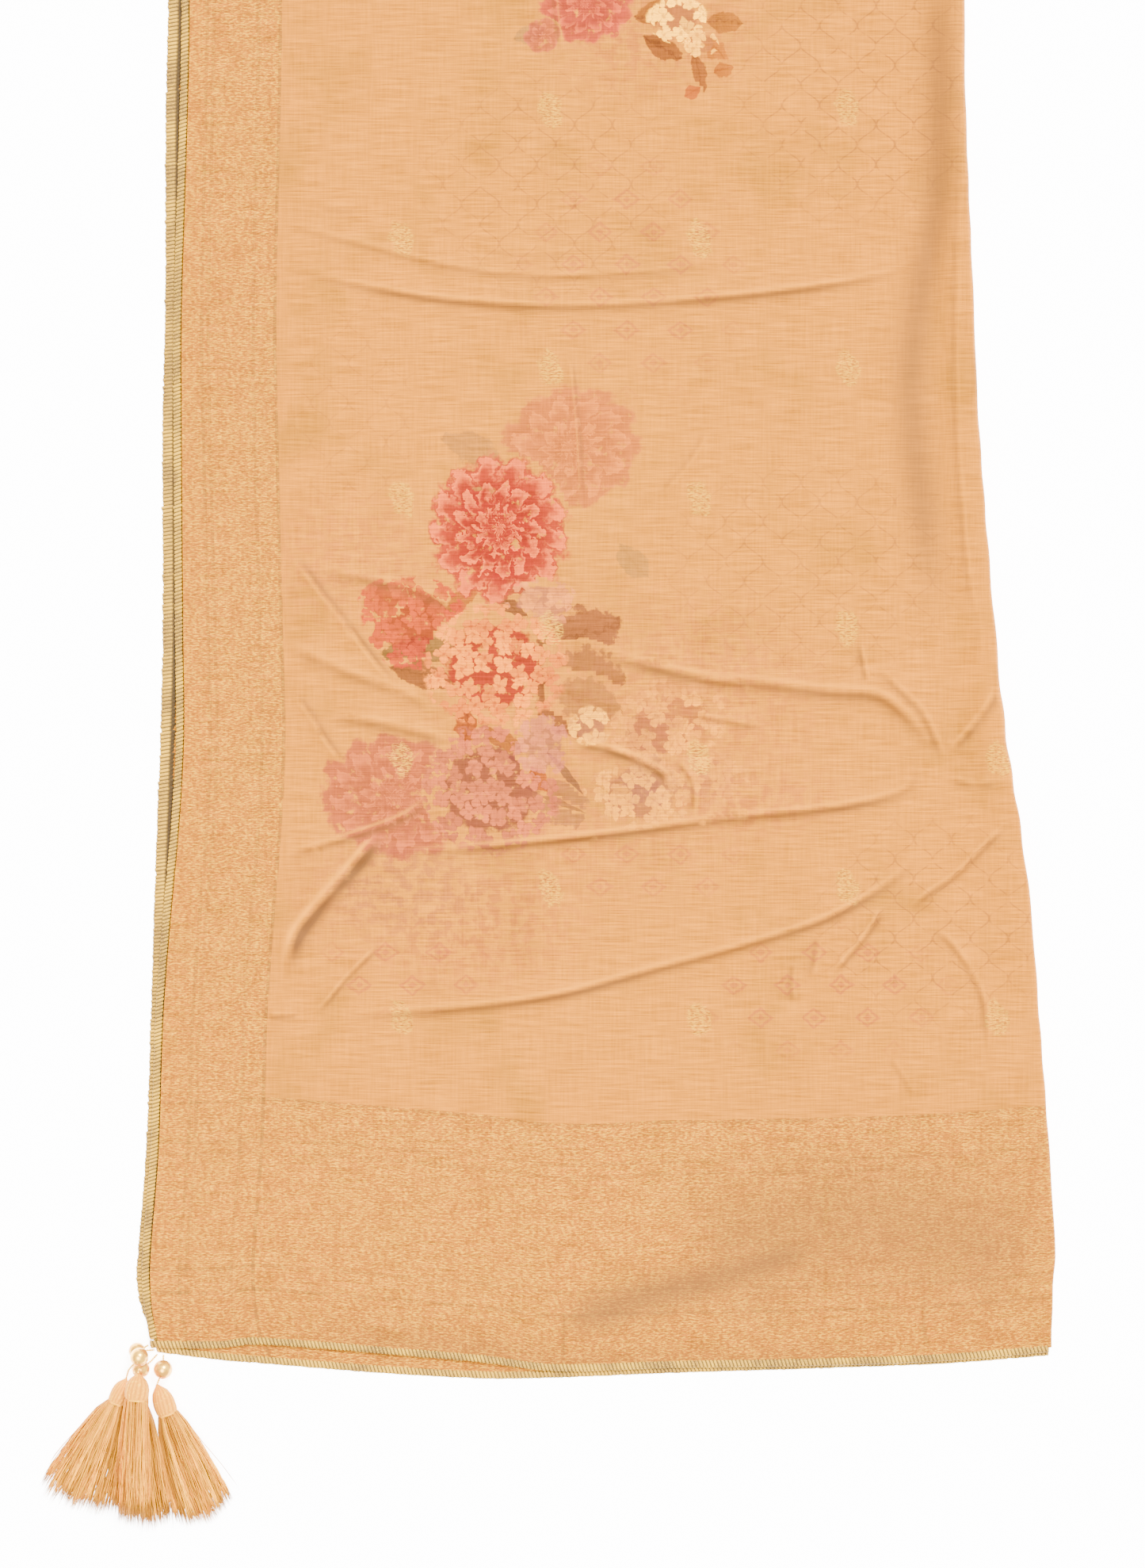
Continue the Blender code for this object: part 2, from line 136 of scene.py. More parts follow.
# Creases of the upper ply. Points are (across, station) along each one, then its height, the half
# width of its steep side, how much wider its easy side is, and how dark the painted shade on its steep
# side lies (mm). A crease is steep on its right when followed from the first point to the last. A
# negative height is a soft trough, whose floor is painted in shade.
Crease = namedtuple("Crease", "points height width ease shade")
CREASES = [Crease(*row) for row in (
    (((-136, 545), (-93, 534), (-39, 526), (23, 524), (107, 530), (166, 539), (197, 551)),
     2.6, 1.7, 3.0, 1.0),
    (((-136, 567), (-97, 556), (-47, 544), (2, 539), (65, 542), (90, 544)), 1.5, 1.6, 2.8, 0.55),
    (((-113, 574), (-95, 572)), 0.7, 1.6, 2.0, 0.3),
    (((-32, 552), (16, 550)), 0.6, 1.8, 2.0, 0.2),
    (((-75, 331), (-89, 348), (-101, 364), (-113, 379), (-122, 391), (-130, 400)), 2.5, 1.5, 2.6, 0.9),
    (((-117, 392), (-93, 387), (-70, 382), (-55, 376), (-45, 371)), 1.6, 2.2, 2.2, 0.55),
    (((-131, 353), (-101, 340), (-85, 334), (-70, 328), (-55, 320)), 1.8, 2.4, 2.0, 0.6),
    (((-101, 292), (-111, 305), (-119, 318), (-127, 328)), 2.2, 1.4, 2.6, 0.8),
    (((-110, 317), (-91, 315), (-76, 312), (-47, 305)), 1.8, 2.4, 2.0, 0.75),
    (((-132, 186), (-127, 205), (-119, 217), (-98, 241), (-82, 260)), 4.2, 3.0, 2.0, 1.7),
    (((-133, 247), (-101, 256), (-73, 266), (-59, 276)), 2.0, 1.8, 2.6, 0.8),
    (((-79, 248), (-36, 251), (31, 258), (92, 266), (149, 272), (180, 280), (184, 290), (181, 302)),
     3.2, 1.9, 3.0, 1.1),
    (((65, 296), (73, 286), (75, 276), (73, 266)), 1.6, 1.5, 2.4, 0.55),
    (((13, 304), (30, 301), (47, 295), (59, 288), (63, 279)), 2.4, 2.0, 2.2, 1.2),
    (((20, 351), (40, 346), (82, 336), (107, 334), (141, 330), (166, 328), (180, 319), (190, 308),
     (201, 293)), 3.0, 2.6, 2.6, 0.95),
    (((166, 342), (181, 328), (191, 317), (201, 294)), 2.2, 1.8, 2.4, 0.7),
    (((203, 299), (213, 310), (222, 322), (227, 332)), 2.6, 1.8, 2.2, 0.8),
    (((203, 286), (215, 283), (227, 284)), 1.4, 1.6, 2.2, 0.5),
    (((158, 354), (160, 344), (162, 334)), 1.6, 1.3, 2.0, 0.8),
    (((74, 318), (91, 315), (109, 312)), 1.4, 1.4, 2.4, 0.55),
    (((-110, 166), (-49, 170), (5, 177), (51, 189), (99, 202), (142, 216), (176, 236), (194, 255)),
     3.0, 1.9, 3.0, 1.15),
    (((-141, 166), (-125, 167)), 1.6, 1.3, 2.0, 0.7),
    (((182, 218), (191, 227), (207, 238), (225, 256), (234, 264)), 2.0, 1.5, 2.4, 0.75),
    (((144, 187), (161, 207), (170, 221)), 2.2, 1.4, 2.6, 0.85),
    (((137, 207), (136, 195), (133, 184)), 1.4, 1.5, 2.2, 0.5),
    (((125, 193), (124, 182), (125, 172)), 1.2, 1.3, 2.0, 0.45),
    (((191, 212), (203, 204), (214, 189), (221, 172), (223, 149)), 1.8, 1.6, 2.4, 0.6),
    (((-117, 167), (-110, 174), (-101, 185), (-84, 202)), 1.9, 1.2, 2.6, 0.8),
    (((173, 146), (180, 136), (185, 127)), 0.9, 1.3, 2.0, 0.35),
    (((4, 690), (5, 672), (8, 652)), 1.0, 1.1, 2.0, 0.5),
    (((18, 424), (17, 444), (16, 462), (12, 502)), 1.0, 0.9, 2.2, 0.6),
    (((82, 462), (72, 445), (57, 428)), 0.9, 1.3, 2.0, 0.35),
    (((197, 720), (198, 660), (197, 578), (188, 526), (184, 478), (190, 418), (196, 352)),
     -2.2, 9.0, 1.2, 1.0),
    (((212, 720), (206, 510), (211, 403), (217, 366), (222, 334)), 0.9, 1.5, 2.6, 0.45),
    (((-118, 40), (-118, 20), (-118, 2)), 0.9, 1.0, 1.6, 0.25),
    (((10, 30), (10, 14), (9, 0)), 1.6, 1.1, 2.2, 0.7),
    (((141, 112), (142, 60), (141, 2)), 0.9, 1.1, 1.6, 0.3),
    (((194, 42), (191, 22), (194, 2)), 1.4, 1.2, 2.0, 0.6),
    (((-2, 19), (44, 31), (84, 41), (124, 52), (150, 60)), -1.8, 10.0, 1.2, 1.1),
    (((60, 40), (140, 66), (200, 60), (262, 40)), -0.8, 34.0, 1.2, 0.75),
    (((-150, 4), (-40, 2), (80, -2), (200, 0)), -0.4, 11.0, 1.2, 0.45),
    (((-32, 6), (-22, 2), (-14, -4)), 0.9, 1.0, 2.0, 0.5),
    (((-96, 12), (-78, 10), (-64, 4)), 1.0, 1.4, 2.0, 0.4),
    (((-150, 760), (-60, 786), (30, 799), (120, 800)), 2.8, 1.9, 3.0, 0.9),
    (((-20, 960), (60, 936), (140, 919), (200, 905)), 2.8, 1.9, 3.0, 0.9),
    (((-160, 1130), (-90, 1128), (0, 1112), (60, 1085)), 2.6, 1.8, 3.0, 0.9),
    (((-60, 1290), (30, 1319), (130, 1334), (210, 1335)), 3.0, 1.9, 3.0, 0.95),
    (((-150, 1480), (-90, 1488), (-20, 1504), (40, 1530)), 2.6, 1.8, 3.0, 0.85),
    (((10, 1690), (80, 1685), (150, 1668), (215, 1640)), 3.0, 1.9, 3.0, 0.95),
    (((-150, 1850), (-60, 1878), (40, 1892), (130, 1890)), 3.0, 1.9, 3.0, 0.95),
    (((-40, 2060), (50, 2030), (140, 2014), (225, 2010)), 3.0, 1.9, 3.0, 1.0),
    (((-140, 2190), (-60, 2212), (30, 2224), (120, 2225)), 2.8, 1.9, 3.0, 0.9),
    (((60, 830), (110, 850), (160, 890)), 1.6, 1.5, 2.4, 0.6),
    (((-120, 1230), (-80, 1200), (-50, 1160)), 1.8, 1.5, 2.4, 0.7),
    (((100, 1440), (150, 1470), (196, 1520)), 1.6, 1.5, 2.4, 0.6),
    (((-100, 1600), (-60, 1630), (-30, 1670)), 1.6, 1.5, 2.4, 0.6),
    (((90, 1990), (130, 1950), (180, 1930)), 1.6, 1.5, 2.4, 0.6),
)]
# A crease fades out over a share of its length at each end. It stands on a broad soft swell of its
# own, given by its half width (mm) and its share of the height. Its painted shade line and its
# painted highlight line lie to either side, in widths of the steep side. Waves are how much and how
# fast it varies along itself: its height twice, then its painted shade.
CREASE_TAPER = 0.2
CREASE_BASE = 7.0
CREASE_BASE_SHARE = 0.3
CREASE_BASE_SPREAD = 1.4
CREASE_SEARCH = 2.2
DARK_PLACE = 0.75
LIT_PLACE = 0.85
LIT_STRENGTH = 0.6
CREASE_WAVES = ((0.24, 17), (0.14, 41), (0.16, 13))

# Grid of the cloth before the creases are cut into it: columns over the upper ply, round the fold
# and under the lower ply, and rows in the near, creased stretch and in the rest.
UPPER_COLUMNS = 100
TURN_COLUMNS = 6
LOWER_COLUMNS = 10
NEAR_STRETCH = 720 * MM
NEAR_ROWS = 160
FAR_ROWS = 108
CREASE_REACHES = (7.0 * MM, 3.3 * MM)    # near a crease the grid is halved, and halved again

# Tassels at one corner, as in the solids: the neck where the skirt starts, the way the skirt points
# (degrees from straight out, positive towards +X), the skirt's length and its half spread at the
# tips, the neck's and the tips' heights, the head's half sizes, and the bead's place and radius (mm).
Tassel = namedtuple(
    "Tassel",
    "name neck_x neck_out turn skirt spread neck_z tip_z half_across half_long half_high "
    "bead_x bead_out bead_z bead_radius",
)
TASSELS = [Tassel(*row) for row in (
    ("left", -20.8, 28.6, -22.5, 57.5, 19.0, 4.4, 2.3, 4.8, 6.2, 4.0, -8.2, 4.4, 13.4, 4.6),
    ("back", -8.8, 30.6, 2.5, 62.0, 13.0, 4.4, 2.3, 4.5, 6.0, 4.0, -10.3, 2.6, 4.6, 4.2),
    ("right", 5.2, 34.2, 20.5, 58.0, 14.6, 4.4, 2.3, 5.6, 7.4, 4.0, 2.8, 11.8, 5.2, 4.8),
    ("top", -9.6, 25.6, -3.7, 62.0, 8.6, 13.6, 6.9, 6.2, 6.2, 4.4, -8.2, 11.4, 6.4, 4.5),
)]
CORNER_THREADS = {
    "left": ((-5.0, 0.0, 3.2), (-6.4, 0.4, 7.2)),
    "back": ((-2.1, 2.6, 0.9),),
    "right": ((2.6, 5.1, 0.9),),
    "top": ((-0.5, 4.8, 0.9), (-3.5, 8.0, 3.0)),
}
NECK_THREADS = {
    "left": ((-14.0, 11.5, 9.5),),
    "back": ((-9.2, 15.4, 1.1), (-9.4, 9.0, 1.0), (-9.8, 6.9, 1.6)),
    "right": (),
    "top": ((-8.6, 11.8, 12.2),),
}
HEAD_PROFILE = (
    (-0.06, 0.80), (0.0, 0.90), (0.10, 0.97), (0.26, 1.0), (0.42, 1.0), (0.60, 0.92), (0.78, 0.74),
    (0.90, 0.48), (1.0, 0.22), (1.06, 0.12),
)
ENDS = (("near", -1), ("far", 1))


# Shapes along and across the cloth

def smooth(value):
    """Ease from 0 to 1, flat at both ends."""
    value = np.clip(value, 0.0, 1.0)
    return value * value * (3.0 - 2.0 * value)


def read_table(rows, key, column, places):
    """Read a table's column at places on its key column, along a smooth curve through the rows."""
    knots = np.array([getattr(row, key) for row in rows], float)
    values = np.array([getattr(row, column) for row in rows], float)
    slopes = np.gradient(values)
    slopes[1:-1] = (values[2:] - values[:-2]) / (knots[2:] - knots[:-2])
    slopes[0] = (values[1] - values[0]) / (knots[1] - knots[0])
    slopes[-1] = (values[-1] - values[-2]) / (knots[-1] - knots[-2])
    places = np.clip(np.asarray(places, float) / MM, knots[0], knots[-1])
    right = np.clip(np.searchsorted(knots, places), 1, len(knots) - 1)
    left = right - 1
    span = knots[right] - knots[left]
    t = (places - knots[left]) / span
    rise = values[right] - values[left]
    start_bend = slopes[left] * span - rise
    end_bend = rise - slopes[right] * span
    return (values[left] + t * rise + t * (1 - t) * ((1 - t) * start_bend + t * end_bend)) * MM


def section(column, stations):
    return read_table(SECTIONS, "station", column, stations)


def hem_drop(ply, across):
    return read_table(HEMS, "across", ply, across)


def length_place(ply, across, stations, tucked=-GAP):
    """Place along +Y of points of a ply, with its ends drawn out to the curved hems. Cloth that is
    tucked reaches that far into the edging."""
    inside_edging = hem_drop(ply, across) - EDGING_WIDTH + tucked
    near = (1 - smooth(stations / HEM_FADE)) * inside_edging
    far = (1 - smooth((LENGTH - stations) / HEM_FADE)) * inside_edging
    return stations - LENGTH / 2 - near + far


def curve_through(points, steps=8):
    """Points along a smooth curve through the given ones, in metres."""
    knots = np.array(points, float) * MM
    padded = np.vstack([2 * knots[0] - knots[1], knots, 2 * knots[-1] - knots[-2]])
    t = np.linspace(0, 1, steps, endpoint=False)[:, None]
    parts = []
    for i in range(len(knots) - 1):
        a, b, c, d = padded[i : i + 4]
        parts.append(0.5 * (2 * b + (c - a) * t + (2 * a - 5 * b + 4 * c - d) * t * t
                            + (3 * b - a - 3 * c + d) * t ** 3))
    return np.vstack(parts + [knots[-1:]])


def crease_offsets(crease, spots, reach):
    """For the spots within reach of a crease: which they are, how far to its left, how far along."""
    line = curve_through(crease.points)
    low, high = line.min(0) - reach, line.max(0) + reach
    near = np.flatnonzero(((spots > low) & (spots < high)).all(1))
    best = np.full(len(near), np.inf)
    side = np.zeros(len(near))
    along = np.zeros(len(near))
    runs = np.diff(line, axis=0)
    lengths = np.linalg.norm(runs, axis=1)
    starts = np.concatenate([[0], np.cumsum(lengths)])
    for i, run in enumerate(runs):
        offset = spots[near] - line[i]
        t = np.clip(offset @ run / lengths[i] ** 2, 0, 1)
        away = np.linalg.norm(offset - t[:, None] * run, axis=1)
        closer = away < best
        best[closer] = away[closer]
        side[closer] = np.sign(run[0] * offset[closer, 1] - run[1] * offset[closer, 0])
        along[closer] = (starts[i] + t[closer] * lengths[i]) / starts[-1]
    kept = best < reach
    return near[kept], (best * side)[kept], along[kept]


def crease_relief(spots, depth):
    """How high the creases stand at each spot, and how deep it lies in a crease's painted shade, or
    below zero how bright a painted highlight on a crease's edge is there."""
    height, shade, lit = np.zeros((3, len(spots)))
    (broad, slow), (fine, fast), (blotch, pace) = CREASE_WAVES
    for crease in CREASES:
        steep, easy = crease.width * MM, crease.width * crease.ease * MM
        base = max(CREASE_BASE * MM, easy) * CREASE_BASE_SPREAD
        which, beside, along = crease_offsets(crease, spots, base * CREASE_SEARCH)
        ends = smooth(along / CREASE_TAPER) * smooth((1 - along) / CREASE_TAPER)
        start_x, start_s = crease.points[0]
        uneven = 1 + broad * np.sin(along * slow + start_x) + fine * np.sin(along * fast)
        patchy = 1 + blotch * np.sin(along * pace + start_s) if crease.height > 0 else 1
        width = np.where(beside < 0, steep, easy)
        ridge = np.exp(-((beside / width) ** 2)) * (1 - CREASE_BASE_SHARE)
        ridge += np.exp(-((beside / base) ** 2)) * CREASE_BASE_SHARE
        height[which] += crease.height * MM * depth * ends * uneven * ridge
        if crease.height > 0:
            sharpness = np.where(beside < -DARK_PLACE * steep, 1.25, 0.7) * steep
            dark = np.exp(-(((beside + DARK_PLACE * steep) / sharpness) ** 2))
            edge = np.exp(-(((beside - LIT_PLACE * steep) / (0.55 * steep)) ** 2))
            lit[which] = np.maximum(lit[which], LIT_STRENGTH * crease.shade * ends * patchy * edge)
        else:
            dark = np.exp(-((beside / steep) ** 2))
        shade[which] = np.maximum(shade[which], crease.shade * ends * patchy * dark)
    return height, shade - lit * np.clip(1 - 2 * shade, 0, 1)


def soft_swell(across, stations):
    """Slow rise and fall of cloth that lies loose, over 120 to 740 mm."""
    u, v = across / MM, stations / MM
    swell = np.sin(u / 37 + 1.3 * np.sin(v / 118)) * np.sin(v / 61 + 0.9 * np.sin(u / 83))
    swell += 0.5 * np.sin(u / 19 + v / 43) * np.sin(v / 29 - u / 71)
    return SWELL * swell


# Meshes

def to_object(name, bm, finish):
    """Turn a bmesh into a smooth object with its finish."""
    mesh = bpy.data.meshes.new(name)
    bm.to_mesh(mesh)
    bm.free()
    mesh.shade_smooth()
    mesh.materials.append(finish)
    made = bpy.data.objects.new(name, mesh)
    bpy.context.scene.collection.objects.link(made)
    return made


def dress(piece, slot, *nodes):
    """Place a finished piece on the frame's body, in the place of the solids that it stands for."""
    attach(piece, "root")
    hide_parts(*nodes)


def tube(bm, rings, layers=None):
    """Closed-round tube through rings of points, an array of rings by sides by 3. Each of the
    layers gives a number for every ring, or for every ring and side, kept on the points."""
    count, sides = rings.shape[:2]
    made = bmesh.ops.create_grid(bm, x_segments=sides, y_segments=count - 1, size=0.5)
    for vert in made["verts"]:
        side = round((vert.co.x + 0.5) * sides) % sides
        ring = round((vert.co.y + 0.5) * (count - 1))
        vert.co = rings[ring, side]
        for layer, values in (layers or {}).items():
            vert[layer] = values[ring, side] if values.ndim > 1 else values[ring]
    return made["verts"]


def rings_round(line, side, other, angles, radius):
    """Rings of points round a line, in the plane of the side and other directions."""
    across = side[:, None, :] * np.cos(angles)[None, :, None]
    return line[:, None, :] + (across + other[:, None, :] * np.sin(angles)[None, :, None]) * radius


def close_tubes(bm):
    """Merge the seams of tubes, cap what is open and turn every face outwards."""
    bmesh.ops.remove_doubles(bm, verts=bm.verts, dist=0.002 * MM)
    bmesh.ops.holes_fill(bm, edges=[edge for edge in bm.edges if edge.is_boundary], sides=0)
    bmesh.ops.recalc_face_normals(bm, faces=bm.faces)


# Materials

def linear(hex_colour):
    """Linear RGBA of an sRGB hex colour."""
    channels = [int(hex_colour[i : i + 2], 16) / 255 for i in (1, 3, 5)]
    return tuple(c / 12.92 if c <= 0.04045 else ((c + 0.055) / 1.055) ** 2.4 for c in channels) + (1.0,)


def add_node(tree, kind, *values, named=None, **settings):
    """Add a shader node. Its kind may be followed by its operation. Values fill its live inputs in
    order, and named fills inputs by name: a value is a number, a colour, a socket, or another node,
    whose first live output is linked."""
    kind, *operation = kind.split()
    node = tree.nodes.new("ShaderNode" + kind)
    if operation:
        node.operation = operation[0]
    for key, value in settings.items():
        setattr(node, key, value)
    live = [socket for socket in node.inputs if socket.enabled]
    pairs = list(zip(live, values))
    pairs += [(node.inputs[key], value) for key, value in (named or {}).items()]
    for socket, value in pairs:
        if isinstance(value, bpy.types.Node):
            value = next(out for out in value.outputs if out.enabled)
        if isinstance(value, bpy.types.NodeSocket):
            tree.links.new(value, socket)
        elif value is not None:
            socket.default_value = value
    return node


def new_material(name, roughness, **constants):
    """Material with one Principled shader, and what adds nodes to it. Constants are set on the
    shader's own sockets."""
    made = bpy.data.materials.new(name)
    made.use_nodes = True
    shader = made.node_tree.nodes["Principled BSDF"]
    shader.inputs["Roughness"].default_value = roughness
    for key, value in constants.items():
        shader.inputs[key.replace("_", " ")].default_value = value
    return made, partial(add_node, made.node_tree), shader


def feed(shader, **sources):
    """Link nodes to the shader's inputs, which are named with _ for a space."""
    for key, source in sources.items():
        output = next(out for out in source.outputs if out.enabled)
        shader.id_data.links.new(output, shader.inputs[key.replace("_", " ")])


# What turns a map's metres to millimetres, in which the cloth's patterns are given.
IN_MM = (1000.0, 1000.0, 0.0)
# Settings of the nodes that ease a value from 0 to 1, and of those that mix two colours. A noise
# takes its place, scale, detail and roughness.
EASED = {"interpolation_type": "SMOOTHSTEP"}
COLOUR = {"data_type": "RGBA"}

# Printed flowers, in the order that they are laid on. Places are across and station (mm), reach is
# the half size both ways, or a leaf's length and half width, and turn is in degrees.
Print = namedtuple("Print", "kind x s reach_x reach_y turn deep light strength count rows",
                   defaults=(0, 0))
PRINTS = [Print(*row) for row in (
    ("wash", -40, 215, 70, 40, 0, "#76391C", "#9B5317", 0.55),
    ("wash", -75, 232, 55, 34, 10, "#65382B", "#8E4A29", 0.55),
    ("wash", 70, 325, 80, 60, 0, "#7C4120", "#A35A17", 0.45),
    ("wash", 95, 275, 60, 22, 0, "#763622", "#9B501F", 0.5),
    ("wash", -95, 395, 55, 40, 0, "#843F21", "#A75919", 0.35),
    ("wash", 30, 300, 120, 90, 20, "#92461B", "#B2620A", 0.35),
    ("wash", 52, 662, 60, 36, 0, "#7E3A1B", "#A75B0E", 0.5),
    ("rosette", 12, 452, 38, 32, 20, "#7A2A1D", "#AA5021", 0.6, 11, 3.2),
    ("leaf", -22, 446, 34, 8, 158, "#563B23", "#754C23", 0.55),
    ("leaf", -26, 432, 30, 8, 196, "#523822", "#6E4824", 0.51),
    ("leaf", 36, 404, 24, 7, -50, "#4E3B21", "#6D4D24", 0.51),
    ("rosette", -76, 276, 40, 33, -8, "#70271E", "#994426", 0.78, 12, 3.2),
    ("leaf", -6, 350, 48, 15, 18, "#442113", "#68371A", 0.92),
    ("leaf", -4, 343, 46, 15, -12, "#482315", "#66371C", 0.76),
    ("leaf", -6, 338, 44, 14, -44, "#421D10", "#623217", 0.92),
    ("leaf", 2, 332, 40, 12, -20, "#482518", "#673B1E", 0.61),
    ("leaf", 40, 300, 30, 12, 30, "#4D271A", "#723F20", 0.61),
    ("leaf", 36, 288, 34, 13, -14, "#4C2921", "#6D3B29", 0.55),
    ("leaf", 2, 286, 30, 12, -60, "#46261B", "#643924", 0.61),
    ("leaf", -48, 318, 40, 5, -26, "#381B11", "#512B1A", 0.98),
    ("leaf", -44, 326, 44, 4, -48, "#31160E", "#462415", 0.92),
    ("leaf", -40, 322, 22, 6, -92, "#4F1D0E", "#75330A", 0.98),
    ("leaf", -34, 312, 26, 5, -30, "#4B2312", "#74390D", 0.92),
    ("cluster", -66, 364, 26, 23, 0, "#63100D", "#992D12", 0.86),
    ("cluster", -82, 376, 13, 10, 20, "#6A110D", "#942B12", 0.8),
    ("leaf", -84, 348, 40, 8, 4, "#382915", "#553A1A", 0.85),
    ("leaf", -80, 342, 36, 7, -14, "#412112", "#613215", 0.92),
    ("leaf", -52, 368, 24, 5, 40, "#4F2210", "#7A390A", 0.85),
    ("leaf", -30, 382, 26, 4, -38, "#3E1D11", "#582F18", 0.92),
    ("rosette", -24, 411, 37, 40, 12, "#6E0F0E", "#B34C20", 0.97, 13, 3.9),
    ("leaf", -10, 380, 20, 7, 160, "#5B1811", "#792813", 0.92),
    ("cluster", -2, 374, 19, 12, 0, "#7B3E2C", "#B8642B", 0.7),
    ("cluster", -26, 342, 36, 31, 0, "#701A0E", "#C96A0A", 0.97),
    ("cluster", 22, 312, 11, 10, 0, "#774122", "#DA8E0A", 0.85),
    ("cluster", -28, 280, 35, 32, 0, "#54231C", "#9F4A29", 0.88),
    ("cluster", -2, 302, 14, 16, 0, "#6B352A", "#A15137", 0.7),
    ("leaf", 0, 300, 30, 2.2, -50, "#462819", "#53301E", 0.85),
    ("leaf", -12, 282, 36, 1.8, -24, "#442819", "#522F1D", 0.67),
    ("cluster", 62, 314, 30, 22, 20, "#75381D", "#C9790A", 0.6),
    ("cluster", 46, 276, 26, 16, -10, "#673525", "#CC7F0A", 0.6),
    ("cluster", 80, 286, 22, 14, 0, "#7D4024", "#C77A0A", 0.45),
    ("leaf", -8, 292, 16, 5, -60, "#62200B", "#7D360A", 0.92),
    ("rosette", 20, 676, 25, 21, 0, "#751E1A", "#A13D22", 0.9, 12, 3.4),
    ("rosette", -2, 660, 10, 9, 30, "#75271D", "#9D4225", 0.75, 6, 2.4),
    ("leaf", 0, 664, 18, 5, 200, "#523820", "#6F4C25", 0.61),
    ("leaf", 44, 668, 22, 6, 20, "#512812", "#763F0C", 0.98),
    ("leaf", 48, 660, 24, 6, -30, "#462110", "#683611", 0.98),
    ("leaf", 80, 668, 20, 6, -6, "#4E2712", "#7A420B", 0.92),
    ("leaf", 78, 660, 20, 5, -44, "#662F0A", "#8B4A0A", 0.98),
    ("leaf", 74, 652, 22, 4, -74, "#4B2210", "#6E3812", 0.92),
    ("leaf", 84, 642, 11, 4, 10, "#69300A", "#85460A", 0.98),
    ("leaf", 78, 634, 10, 3.5, 210, "#68220A", "#80360A", 0.85),
    ("cluster", 66, 668, 15, 12, 0, "#7C421A", "#F5A90A", 0.95),
    ("cluster", 78, 656, 9, 7, 0, "#834719", "#E5990A", 0.9),
)]
# The spray of flowers comes again along the cloth, every other time shifted across (mm).
SPRAY_REPEAT = 620.0
SPRAY_START = 104.0
SPRAY_SHIFT = 95.0
PRINT_LAYERS = {"leaf": ("leaf",), "bloom": ("rosette", "cluster")}
# How far past its own reach a print still holds its faces, in shares of the reach.
PRINT_MARGIN = 1.3

# Soft patches where the faint printed grounds show: middle and half sizes (mm), and strength.
Patch = namedtuple("Patch", "kind x s reach_x reach_s strength")
PATCHES = [Patch(*row) for row in (
    ("trellis", 2, 586, 62, 56, 0.55),
    ("trellis", 160, 632, 66, 66, 0.65),
    ("trellis", 134, 392, 74, 54, 0.5),
    ("trellis", 196, 214, 60, 52, 0.6),
    ("trellis", -98, 470, 34, 60, 0.3),
    ("sprig", 44, 540, 56, 58, 0.42),
    ("sprig", 140, 178, 62, 32, 0.5),
    ("sprig", 44, 240, 60, 18, 0.4),
    ("sprig", -70, 190, 44, 22, 0.5),
)]

# Woven borders: how far in from the long edges and from the ends they reach (mm).
BORDER = 50.0
PANEL = 125.0
BORDER_SOFT = 0.4
# Repeats of the small motifs, as the width and the height of a cell, and their half sizes (mm).
TRELLIS_CELL = (19.0, 20.0)
LOZENGE_CELL = (27.0, 33.0)
LOZENGE_HALF = (6.6, 5.2)
BUTTI_CELL = (150.0, 131.0)
BUTTI_START = (2.0, 230.0)
BUTTI_HALF = (7.0, 10.5)
FLORET_SCALE = 0.122    # small flowers to a millimetre
# Thin dull lines between the stripes of the borders: how far in they lie and how strong they are.
EDGE_LINES = ((12.4, 0.34), (15.8, 0.28), (38.4, 0.28), (49.4, 0.5))
HEM_LINES = ((28.0, 0.4), (40.0, 0.3), (98.0, 0.25), (104.0, 0.25), (124.0, 0.35))


def cell_place(add, across, station, cell, first=(0.0, 0.0)):
    """Place within the nearest cell of a staggered repeat, in mm from its middle."""
    found = []
    for half in (0.0, 0.5):
        parts = []
        for value, size, start in zip((across, station), cell, first):
            cells = add("Math MULTIPLY_ADD", value, 1 / size, half - start / size + 0.5)
            part = add("Math FRACT", cells)
            centred = add("Math SUBTRACT", part, 0.5)
            parts.append(add("Math MULTIPLY", centred, size))
        found.append(add("CombineXYZ", parts[0], parts[1], 0.0))
    lengths = [add("VectorMath LENGTH", item).outputs["Value"] for item in found]
    nearer = add("Math GREATER_THAN", lengths[0], lengths[1])
    chosen = add("Mix", nearer, found[0], found[1], data_type="VECTOR")
    return add("SeparateXYZ", chosen).outputs


def trellis(add, across, station):
    """Ogee trellis: two families of swaying lines. A cell is 19 mm wide and 20 mm high."""
    sway = add("Math MULTIPLY", station, math.tau / TRELLIS_CELL[1])
    swing = add("Math SINE", sway)
    strands = []
    for turn, start in ((0.25, 0.0), (-0.25, 0.5)):
        cell = add("Math MULTIPLY_ADD", across, 1 / TRELLIS_CELL[0], start)
        bent = add("Math MULTIPLY_ADD", swing, turn, cell)
        part = add("Math FRACT", bent)
        centred = add("Math SUBTRACT", part, 0.5)
        off = add("Math ABSOLUTE", centred)
        strands.append(add("MapRange", off, 0.05, 0.01, **EASED))
    return add("Math MAXIMUM", strands[0], strands[1])


def lozenges(add, across, station, ragged):
    """Small outlined lozenges with a dot in each, staggered 13.5 mm by 16.5 mm."""
    wide, high, _ = cell_place(add, across, station, LOZENGE_CELL)
    wide = add("Math ABSOLUTE", wide)
    high = add("Math ABSOLUTE", high)
    scaled = add("Math MULTIPLY", high, 1 / LOZENGE_HALF[1])
    spread = add("Math MULTIPLY_ADD", wide, 1 / LOZENGE_HALF[0], scaled)
    shaken = add("Math MULTIPLY_ADD", ragged, 0.7, spread)
    ring = add("Math SUBTRACT", shaken, 1.2)
    off = add("Math ABSOLUTE", ring)
    outline = add("MapRange", off, 0.24, 0.08, **EASED)
    dot = add("MapRange", shaken, 0.78, 0.6, **EASED)
    return add("Math MAXIMUM", outline, dot)


